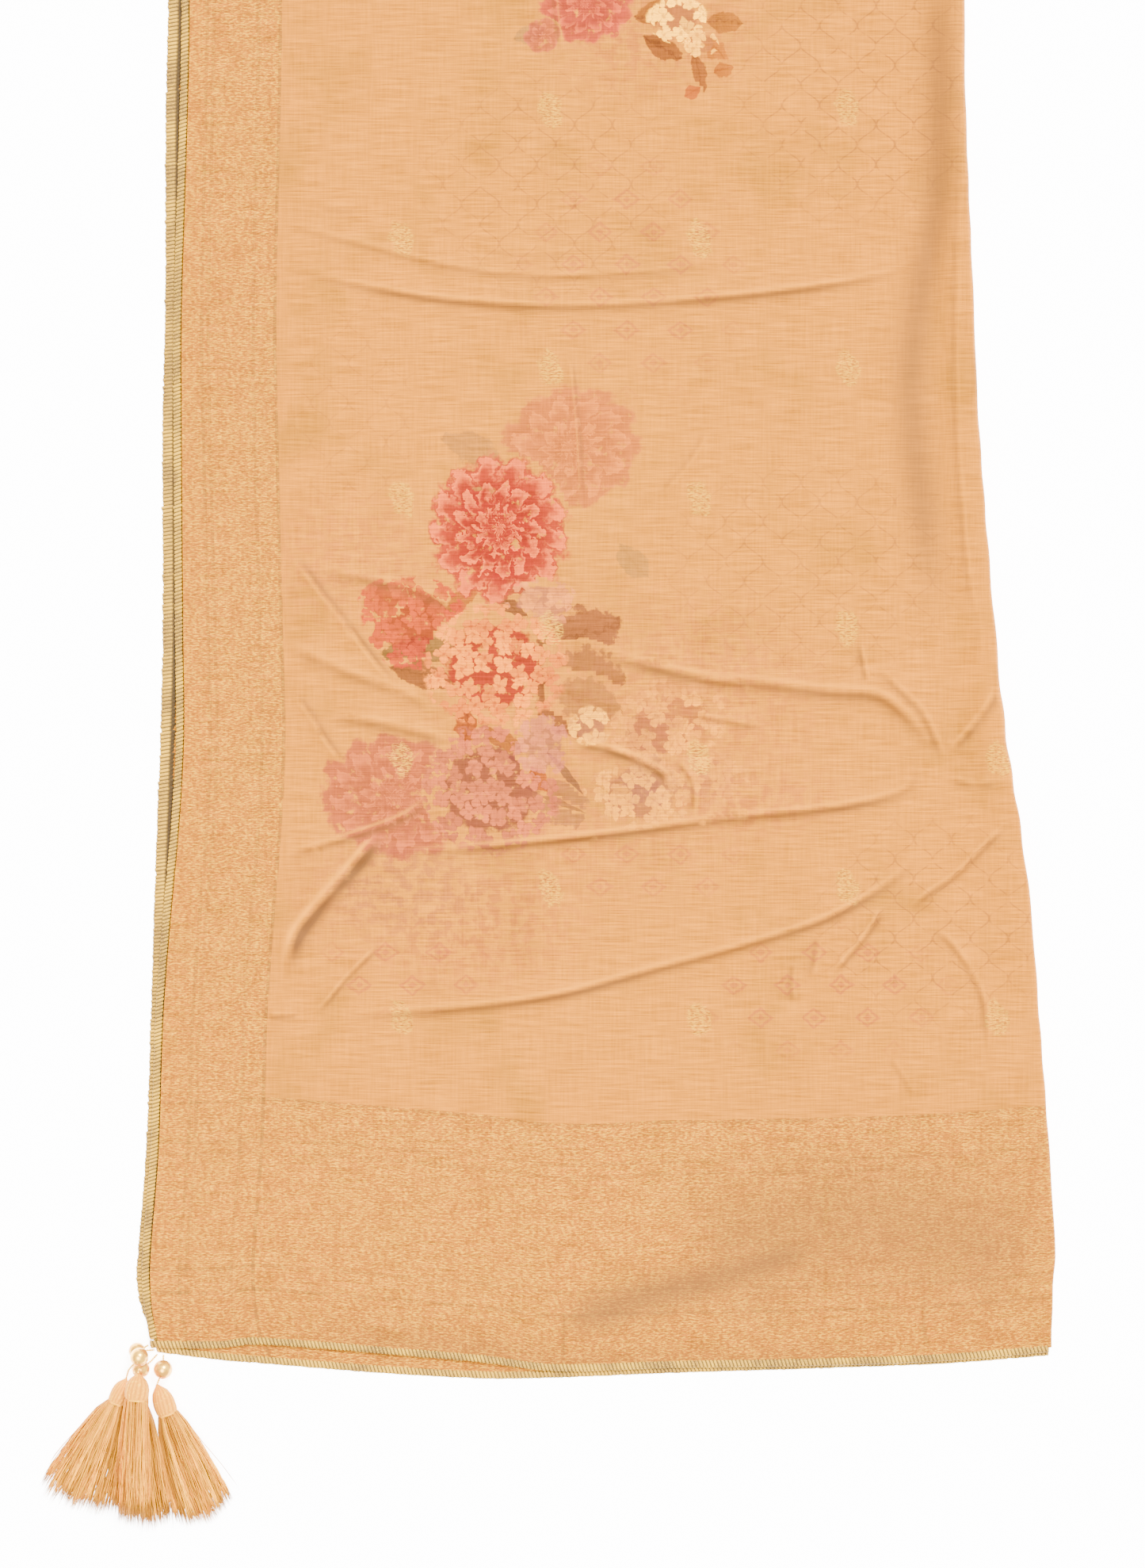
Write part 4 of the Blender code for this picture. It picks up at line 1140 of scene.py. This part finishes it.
def make_edging(settings):
    """Six lengths of wrapped edging: along each ply's long side and across its two ends."""
    finish = wrapped_polyester(settings)
    inset = -EDGING_WIDTH / 2 - GAP
    upper_level = (UPPER_EDGING_LOW, UPPER_EDGING_HEIGHT)
    lower_level = (0.0, LOWER_EDGING_HEIGHT)
    lengthways = (
        ("upper", "upper_edge", inset, EDGING_WIDTH, upper_level),
        ("lower", "lower_edge", BAND_WIDTH / 2, BAND_WIDTH, lower_level),
    )
    for ply, column, offset, width, (low, height) in lengthways:
        def place(at, beside, ply=ply, column=column, offset=offset):
            x = section(column, at) + offset + beside
            return x, length_place(ply, x, at)
        wrapped_edging(f"wraps_{ply}_long", place, LENGTH, width, low, height, settings, finish,
                       f"edging_{ply}_long")
    stop = section("fold", 0.0) - EDGING_WIDTH / 2
    starts = {"upper": section("upper_edge", 0.0) - EDGING_WIDTH - GAP, "lower": section("lower_edge", 0.0)}
    for end_name, end in ENDS:
        for ply, (low, height) in (("upper", upper_level), ("lower", lower_level)):
            def place(at, beside, ply=ply, end=end):
                x = starts[ply] + at
                outwards = hem_drop(ply, x) - EDGING_WIDTH / 2 + beside
                return x, end * (LENGTH / 2 + outwards)
            wrapped_edging(f"wraps_{ply}_{end_name}", place, stop - starts[ply], EDGING_WIDTH, low,
                           height, settings, finish, f"edging_{ply}_{end_name}")


# Tassels

# The strands of a skirt gather in locks: how many lie across, how high in half thicknesses, where
# the outermost ones lie in half widths, and how far from a lock's middle the painted shade between
# locks grows full. Some strands stray and some are cut short. The skirt fans from inside the head,
# fast at first, and lies a little bowed.
LOCKS_ACROSS = 9
LOCK_LEVELS = (-0.45, 0.55)
OUTER_LOCK = 0.93
LOCK_REACH = 0.24
STRAY_SHARE = 0.07
SHORT_SHARE = 0.06
NECK_WIDTH = 0.92
NECK_HEIGHT = 0.72
TIP_HALF_HEIGHT = 1.5
FAN = 0.68
WAVE = 0.8 * MM
BOW = 1.6 * MM
# Tassels turned further than this (degrees) get painted shade on their inner side, where the middle
# one would shade them; the back one gets painted shade all over.
SHADED_TURN = 12
INNER_SHADE = 0.55
BACK_SHADE = 0.35
DEEPEST_SHADE = 0.85
HEAD_RINGS = 26
HEAD_SIDES = 64
HEAD_GROOVES = 16
HEAD_GROOVE_DEPTH = 0.06
BINDING_TURNS = 3
BINDING_PITCH = 0.35
BINDING_RADIUS = 0.3 * MM


def corner_point(across, outwards, up, end):
    """Point given from a corner of the cloth, in mm, at the near (-1) or far (+1) end."""
    return np.array((CORNER_X + across * MM, end * (LENGTH / 2 + outwards * MM), up * MM))


def tassel_axes(row, end):
    """A tassel's neck, the way its skirt points, the way across it, and up."""
    turn = math.radians(row.turn)
    out = np.array((math.sin(turn), end * math.cos(turn), 0.0))
    side = np.array((math.cos(turn), -end * math.sin(turn), 0.0))
    return corner_point(row.neck_x, row.neck_out, row.neck_z, end), out, side, np.array((0.0, 0.0, 1.0))


def strand_rings(line, radius):
    """Three-sided rings round a strand's line, closing to a point at its tip."""
    runs = np.gradient(line, axis=0)
    runs /= np.linalg.norm(runs, axis=1)[:, None]
    side = np.cross(runs, (0.0, 0.0, 1.0))
    side /= np.linalg.norm(side, axis=1)[:, None]
    other = np.cross(side, runs)
    taper = np.full(len(line), radius)
    taper[-1] = 0.0
    angles = np.arange(3) / 3 * math.tau + math.pi / 2
    return rings_round(line, side, other, angles, taper[:, None, None])


def skirt_strand(row, rng, axes, settings, locks):
    """Line, colour and painted shade of one strand, which gathers with others into a lock."""
    neck, out, side, up = axes
    lock = rng.integers(len(locks))
    lock_across, lock_up, lock_reach, lock_tint = locks[lock]
    pull = 0.10 + 0.07 * rng.random()
    across = lock_across + rng.normal(0, pull)
    across = np.clip(across, -1.0, 1.0)
    rise = np.clip(lock_up + rng.normal(0, 0.42), -1.0, 1.0)
    level = math.sqrt(max(0.0, 1 - across * across))
    t = np.linspace(0, 1, settings.strand_points)
    rise = np.clip(rise + 0.25 * rng.normal() * (rng.random() < 0.2), -1.0, 1.0)
    reach = row.skirt * MM * (1 - 0.05 * across * across) * (0.985 + 0.03 * lock_reach)
    reach *= 1 - (0.3 if rng.random() < SHORT_SHARE else 0.1) * rng.random() ** 2
    start = row.half_across * NECK_WIDTH * MM * np.sign(across) * abs(across) ** 0.8
    finish = row.spread * MM * across
    spread = start + (finish - start) * t ** FAN
    wave = WAVE * np.sin(t * (4 + 7 * rng.random()) + rng.random() * 6) * t
    stray = rng.random() < STRAY_SHARE
    wave += rng.normal(0, 3.0 if stray else 0.6) * MM * t * t
    thick = (row.half_high * NECK_HEIGHT * (1 - t) + TIP_HALF_HEIGHT * t) * MM
    middle = (row.neck_z * (1 - t) + row.tip_z * t) * MM + 0.5 * MM * t
    bulge = BOW * np.sin(math.pi * t) * (1 - 0.5 * across * across)
    height = middle + thick * rise * level + bulge * max(rise, -0.2) - row.neck_z * MM
    floor = settings.strand_radius * 1.2 - row.neck_z * MM
    height = np.maximum(height, floor)
    line = (neck + out * (reach * t)[:, None] + side * (spread + wave)[:, None] + up * height[:, None])
    # The lock's own colour, painted lighter for strands higher in the lock, as if lit from above.
    tint = np.clip(lock_tint + rng.normal(0, 0.3) + 0.15 * rise, 0, 1)
    # Painted shade: between locks, near the neck, under the middle tassel and on the back one, less on top.
    from_lock = min(abs(across - lock_across) / LOCK_REACH, 1.0)
    inward = -across * np.sign(row.turn) if abs(row.turn) > SHADED_TURN else 0.0
    hidden = INNER_SHADE * smooth((inward - 0.25) / 0.75) + BACK_SHADE * (row.name == "back")
    shade = np.clip(0.9 * from_lock ** 1.5 * t ** 0.5 + 0.5 * (1 - t) ** 3 + hidden * (1 - 0.6 * t)
                    + 0.1 * abs(rng.normal()) - 0.18 * rise, 0, DEEPEST_SHADE)
    return line, tint, shade


def make_skirt(row, end, settings):
    """Skirt of fine strands in locks, fanned from the neck and lying on the floor."""
    rng = np.random.default_rng(sum(map(ord, row.name)) + 7 * end)
    axes = tassel_axes(row, end)
    locks = []
    for i in range(LOCKS_ACROSS):
        middle = -OUTER_LOCK + 2 * OUTER_LOCK * i / (LOCKS_ACROSS - 1)
        for level in LOCK_LEVELS:
            locks.append((middle + rng.normal(0, 0.05), level + rng.normal(0, 0.15),
                          rng.normal(0, 1.0), 0.55 + rng.normal(0, 0.3)))
    bm = bmesh.new()
    tint_and_light_layer = bm.verts.layers.float.new("tint")
    painted_shade_layer = bm.verts.layers.float.new("groove")
    for _ in range(settings.strands):
        line, tint, shade = skirt_strand(row, rng, axes, settings, locks)
        rings = strand_rings(line, settings.strand_radius * (0.8 + 0.4 * rng.random()))
        tube(bm, rings, {tint_and_light_layer: np.full(len(line), tint), painted_shade_layer: shade})
    return bm, tint_and_light_layer, painted_shade_layer


def add_head(bm, tint_and_light_layer, painted_shade_layer, row, end):
    """Head of floss bent over and bound: a soft cap with fine grooves from its top to its rim."""
    neck, out, side, up = tassel_axes(row, end)
    head_long = 2 * row.half_long * MM
    part_way = np.linspace(HEAD_PROFILE[0][0], HEAD_PROFILE[-1][0], HEAD_RINGS)
    scale = np.interp(part_way, *np.transpose(HEAD_PROFILE))
    angles = np.arange(HEAD_SIDES) / HEAD_SIDES * math.tau
    sway = 5 * part_way[:, None] + np.sin(angles * 3)[None, :]
    ripple = 0.5 + 0.5 * np.sin(angles[None, :] * HEAD_GROOVES + sway)
    grooved = scale[:, None] * (1 - HEAD_GROOVE_DEPTH * ripple)
    across = row.half_across * MM * grooved * np.cos(angles)[None, :]
    rise = row.half_high * MM * grooved * np.sin(angles)[None, :]
    rings = (neck - out * (head_long * part_way)[:, None, None] + side * across[..., None]
             + up * rise[..., None])
    # Painted shade in the head's grooves, and lightly on the binding below.
    tube(bm, rings, {tint_and_light_layer: np.full(len(part_way), 0.4), painted_shade_layer: 0.45 * ripple})
    for turn in range(BINDING_TURNS):
        place = neck + out * (BINDING_PITCH * turn - 0.1) * MM
        ring_angles = np.linspace(0, math.tau, 25)
        centre = (place + side * (row.half_across * 0.83 * MM * np.cos(ring_angles))[:, None]
                  + up * (row.half_high * 0.80 * MM * np.sin(ring_angles))[:, None])
        bind = binding_rings(centre, out, BINDING_RADIUS)
        tube(bm, bind, {tint_and_light_layer: np.full(len(centre), 0.85), painted_shade_layer: np.full(len(centre), 0.1)})


def binding_rings(centre, out, radius):
    """Rings round a closed loop of thread whose axis is out."""
    middle = centre[:-1].mean(0)
    outward = centre - middle
    outward /= np.linalg.norm(outward, axis=1)[:, None]
    angles = np.arange(5) / 5 * math.tau
    return rings_round(centre, outward, out[None, :], angles, radius)


def make_tassels(settings):
    """Eight tassels, four to each end's open corner."""
    finish = tassel_floss(settings)
    for end_name, end in ENDS:
        for row in TASSELS:
            bm, tint_and_light_layer, painted_shade_layer = make_skirt(row, end, settings)
            add_head(bm, tint_and_light_layer, painted_shade_layer, row, end)
            close_tubes(bm)
            made = to_object(f"floss_{end_name}_{row.name}", bm, finish)
            dress(made, "tassel_thread", f"tassel_{end_name}_{row.name}")


# Beads and threads

# A bead's dished hole, in shares of its radius, and the two gilt threads that are twisted together.
HOLE_WIDTH = 0.16
HOLE_DEPTH = 0.12
THREAD_STEP = 0.35 * MM
THREAD_TWIST = 2.2 * MM
THREAD_APART = 0.24 * MM
THREAD_RADIUS = 0.32 * MM


def make_beads(settings):
    """Pearl beads with a drilled hole, and the gold threads that pass from corner to tassel."""
    pearl, gold = pearl_lacquer(settings), zari(settings)
    for end_name, end in ENDS:
        for row in TASSELS:
            centre = corner_point(row.bead_x, row.bead_out, row.bead_z, end)
            from_corner = [corner_point(*point, end) for point in CORNER_THREADS[row.name]]
            neck, out, *_ = tassel_axes(row, end)
            stalk_tip = neck - out * (2 * row.half_long + 0.8) * MM
            from_head = [stalk_tip] + [corner_point(*point, end) for point in NECK_THREADS[row.name]]
            for part, path in (("corner", from_corner), ("neck", from_head)):
                back = path[-1] - centre
                back /= np.linalg.norm(back)
                line = np.array(path + [centre + back * (row.bead_radius * MM * 0.93)])
                name = f"thread_{end_name}_{row.name}_{part}"
                make_thread("zari_" + name, line, settings, gold, name)
            hole = from_corner[-1] - centre
            make_bead(f"pearl_{end_name}_{row.name}", centre, hole, row.bead_radius * MM, pearl,
                      f"bead_{end_name}_{row.name}")


def make_bead(name, centre, hole, radius, finish, node):
    """Ball with a small dished hole where the thread goes in."""
    bm = bmesh.new()
    bmesh.ops.create_uvsphere(bm, u_segments=40, v_segments=28, radius=radius)
    dish = HOLE_WIDTH * radius
    for vert in bm.verts:
        off = math.hypot(vert.co.x, vert.co.y)
        if off < dish:
            vert.co.z *= 1 - HOLE_DEPTH * (1 - off / dish)
    turn = Vector((0, 0, 1)).rotation_difference(Vector(hole)).to_matrix()
    bmesh.ops.rotate(bm, verts=bm.verts, cent=(0, 0, 0), matrix=turn)
    bmesh.ops.translate(bm, verts=bm.verts, vec=Vector(centre))
    dress(to_object(name, bm, finish), "pearl_bead", node)


def make_thread(name, line, settings, finish, node):
    """Two gilt threads twisted together along a line."""
    lengths = np.concatenate([[0], np.cumsum(np.linalg.norm(np.diff(line, axis=0), axis=1))])
    count = max(10, round(lengths[-1] / THREAD_STEP))
    at = np.linspace(0, lengths[-1], count)
    path = np.column_stack([np.interp(at, lengths, line[:, i]) for i in range(3)])
    path[1:-1] = (path[:-2] + 2 * path[1:-1] + path[2:]) / 4
    runs = np.gradient(path, axis=0)
    runs /= np.linalg.norm(runs, axis=1)[:, None]
    side = np.cross(runs, (0.31, 0.12, 0.94))
    side /= np.linalg.norm(side, axis=1)[:, None]
    other = np.cross(side, runs)
    bm = bmesh.new()
    angles = np.arange(6) / 6 * math.tau
    for start in (0.0, math.pi):
        phase = at / THREAD_TWIST * math.tau + start
        away = side * np.cos(phase)[:, None] + other * np.sin(phase)[:, None]
        tube(bm, rings_round(path + away * THREAD_APART, side, other, angles, THREAD_RADIUS))
    close_tubes(bm)
    dress(to_object(name, bm, finish), "gold_thread", node)


# Stage

VIEW_MIDDLE = (13.2 * MM, -917.2 * MM)
VIEW_LENGTH = 791.2 * MM
SENSOR = 36.0
FLOOR_HALF = 40.0
FLOOR_DROP = 0.05 * MM


def make_stage(settings):
    """White floor, soft studio light and a camera straight above the near end."""
    bm = bmesh.new()
    bmesh.ops.create_grid(bm, x_segments=8, y_segments=8, size=FLOOR_HALF)
    bmesh.ops.translate(bm, verts=bm.verts, vec=(0.0, 0.0, -FLOOR_DROP))
    made, add, shader = new_material("painted_board_matt", 0.9, Specular_IOR_Level=0.1,
                                      Emission_Color=linear("#ffffff"), Emission_Strength=8.0)
    spot = add("TexCoord").outputs["Object"]
    grain = add("TexNoise", spot, 30.0, 2.0)
    colour = add("Mix", grain, linear("#ffffff"), linear("#fcfbfa"), **COLOUR)
    feed(shader, Base_Color=colour)
    to_object("floor", bm, made)

    world = bpy.data.worlds.new("studio")
    world.use_nodes = True
    back = world.node_tree.nodes["Background"]
    back.inputs["Color"].default_value = (1.0, 1.0, 1.0, 1.0)
    back.inputs["Strength"].default_value = settings.fill_strength
    bpy.context.scene.world = world
    for name, turn, strength, spread in (("key", (38, 0, 152), settings.key_strength, 12.0),
                                         ("top", (8, -6, 0), settings.top_strength, 35.0)):
        light = bpy.data.lights.new(name, "SUN")
        light.energy = strength
        light.angle = math.radians(spread)
        lamp = bpy.data.objects.new(name, light)
        lamp.rotation_euler = [math.radians(a) for a in turn]
        bpy.context.scene.collection.objects.link(lamp)

    lens = bpy.data.cameras.new("camera")
    lens.lens = settings.lens
    lens.sensor_width = SENSOR
    camera = bpy.data.objects.new("camera", lens)
    camera.location = (*VIEW_MIDDLE, VIEW_LENGTH * settings.lens / SENSOR)
    lens.clip_end = 100.0
    bpy.context.scene.collection.objects.link(camera)
    bpy.context.scene.camera = camera


# Settings that a user would change

def hex_property(name, where, default):
    """Colour that a user would change, as an sRGB hex value."""
    return bpy.props.StringProperty(name=name, description="sRGB hex colour " + where, default=default)


class StoleClothSettings(bpy.types.PropertyGroup):
    """Sizes and colours of the cloth."""
    crease_depth: bpy.props.FloatProperty(
        name="Crease depth", description="Height of the creases against the measured ones",
        default=1.0, min=0.0, max=2.0)
    # How strong the painted shade on a crease's steep side and in a trough is.
    painted_crease_shade: bpy.props.FloatProperty(
        name="Crease tone", description="How much browner a crease's steep side is",
        default=0.65, min=0.0, max=1.0, subtype="FACTOR")
    print_strength: bpy.props.FloatProperty(
        name="Print strength", description="How strong the printed flowers are",
        default=1.0, min=0.0, max=1.5)
    ground_warm: hex_property("Ground, warm", "of the warm patches", "#A6630A")
    ground_cool: hex_property("Ground, cool", "of the cool patches", "#A2620A")
    border_colour: hex_property("Border ground", "between the gold threads", "#95550A")
    gold_thread: hex_property("Gold thread", "of the woven gold thread", "#B8810A")


class StoleEdgingSettings(bpy.types.PropertyGroup):
    """Sizes and colours of the wrapped edging."""
    wrap_pitch: bpy.props.FloatProperty(
        name="Wrap pitch", description="From one wrap to the next; twice the real one, so that it shows",
        default=1.9 * MM, min=0.5 * MM, unit="LENGTH")
    wrap_slant: bpy.props.FloatProperty(
        name="Wrap slant", description="How far a wrap leans over its width, in pitches", default=0.35)
    thread_light: hex_property("Thread, light", "of the thread in light", "#B9891C")
    thread_dark: hex_property("Thread, dark", "of the darker thread", "#775528")
    # Colour of the painted shade between the wraps and under the upper ply's edge.
    painted_groove_shade: hex_property("Groove", "between the wraps", "#2F2314")


class StoleTasselSettings(bpy.types.PropertyGroup):
    """Sizes and colours of the tassels."""
    strands: bpy.props.IntProperty(
        name="Strands", description="Strands in each tassel's skirt", default=560, min=50, max=900)
    strand_points: bpy.props.IntProperty(
        name="Points", description="Points along each strand", default=8, min=4, max=16)
    strand_radius: bpy.props.FloatProperty(
        name="Strand radius", description="Half the thickness of a strand", default=0.23 * MM,
        min=0.1 * MM, unit="LENGTH")
    floss_light: hex_property("Floss, light", "of the paler strands", "#eea612")
    floss_dark: hex_property("Floss, dark", "of the deeper strands", "#cb760c")


class StoleBeadSettings(bpy.types.PropertyGroup):
    """Colours of the beads and their thread."""
    pearl_light: hex_property("Pearl, light", "of the pearl's pale clouds", "#f2bc3c")
    pearl_dark: hex_property("Pearl, dark", "of the pearl's body", "#d09424")
    zari_colour: hex_property("Gold thread", "of the gilt strip", "#ffd83c")


class StoleStageSettings(bpy.types.PropertyGroup):
    """Light and lens."""
    key_strength: bpy.props.FloatProperty(
        name="Key light", description="Strength of the slanting light", default=10.8, min=0.0)
    top_strength: bpy.props.FloatProperty(
        name="Top light", description="Strength of the light from above", default=6.0, min=0.0)
    fill_strength: bpy.props.FloatProperty(
        name="Fill", description="Strength of the light from all round", default=2.3, min=0.0)
    lens: bpy.props.FloatProperty(
        name="Lens", description="Focal length in mm; the camera stands further off for a longer one",
        default=90.0, min=20.0)


class STOLE_OT_cloth(bpy.types.Operator):
    """Lay the folded cloth with its creases, borders and print"""
    bl_idname = "stole.cloth"
    bl_label = "Cloth"

    def execute(self, context):
        make_cloth(context.scene.stole_cloth)
        return {"FINISHED"}


class STOLE_OT_edging(bpy.types.Operator):
    """Wrap the six edges with thread"""
    bl_idname = "stole.edging"
    bl_label = "Edging"

    def execute(self, context):
        make_edging(context.scene.stole_edging)
        return {"FINISHED"}


class STOLE_OT_tassels(bpy.types.Operator):
    """Make the tassels' skirts and heads"""
    bl_idname = "stole.tassels"
    bl_label = "Tassels"

    def execute(self, context):
        make_tassels(context.scene.stole_tassels)
        return {"FINISHED"}


class STOLE_OT_beads(bpy.types.Operator):
    """Make the pearl beads and the gold threads"""
    bl_idname = "stole.beads"
    bl_label = "Beads and threads"

    def execute(self, context):
        make_beads(context.scene.stole_beads)
        return {"FINISHED"}


class STOLE_OT_stage(bpy.types.Operator):
    """Set up the floor, the light and the camera"""
    bl_idname = "stole.stage"
    bl_label = "Stage"

    def execute(self, context):
        make_stage(context.scene.stole_stage)
        return {"FINISHED"}


SETTINGS = {
    "stole_cloth": StoleClothSettings,
    "stole_edging": StoleEdgingSettings,
    "stole_tassels": StoleTasselSettings,
    "stole_beads": StoleBeadSettings,
    "stole_stage": StoleStageSettings,
}
OPERATORS = (STOLE_OT_cloth, STOLE_OT_edging, STOLE_OT_tassels, STOLE_OT_beads, STOLE_OT_stage)


class STOLE_PT_sidebar(bpy.types.Panel):
    """Stole pieces and their settings"""
    bl_label = "Stole"
    bl_idname = "STOLE_PT_sidebar"
    bl_space_type = "VIEW_3D"
    bl_region_type = "UI"
    bl_category = "Stole"

    def draw(self, context):
        for operator, (name, group) in zip(OPERATORS, SETTINGS.items()):
            box = self.layout.box()
            box.operator(operator.bl_idname)
            for key in group.__annotations__:
                box.prop(getattr(context.scene, name), key)


CLASSES = (*SETTINGS.values(), *OPERATORS, STOLE_PT_sidebar)


def register():
    for item in CLASSES:
        bpy.utils.register_class(item)
    for name, group in SETTINGS.items():
        setattr(bpy.types.Scene, name, bpy.props.PointerProperty(type=group))


def unregister():
    for name in SETTINGS:
        delattr(bpy.types.Scene, name)
    for item in reversed(CLASSES):
        bpy.utils.unregister_class(item)


def main():
    """Make every piece in order."""
    register()
    bpy.ops.stole.cloth()
    bpy.ops.stole.edging()
    bpy.ops.stole.tassels()
    bpy.ops.stole.beads()
    bpy.ops.stole.stage()


if __name__ == "__main__":
    main()
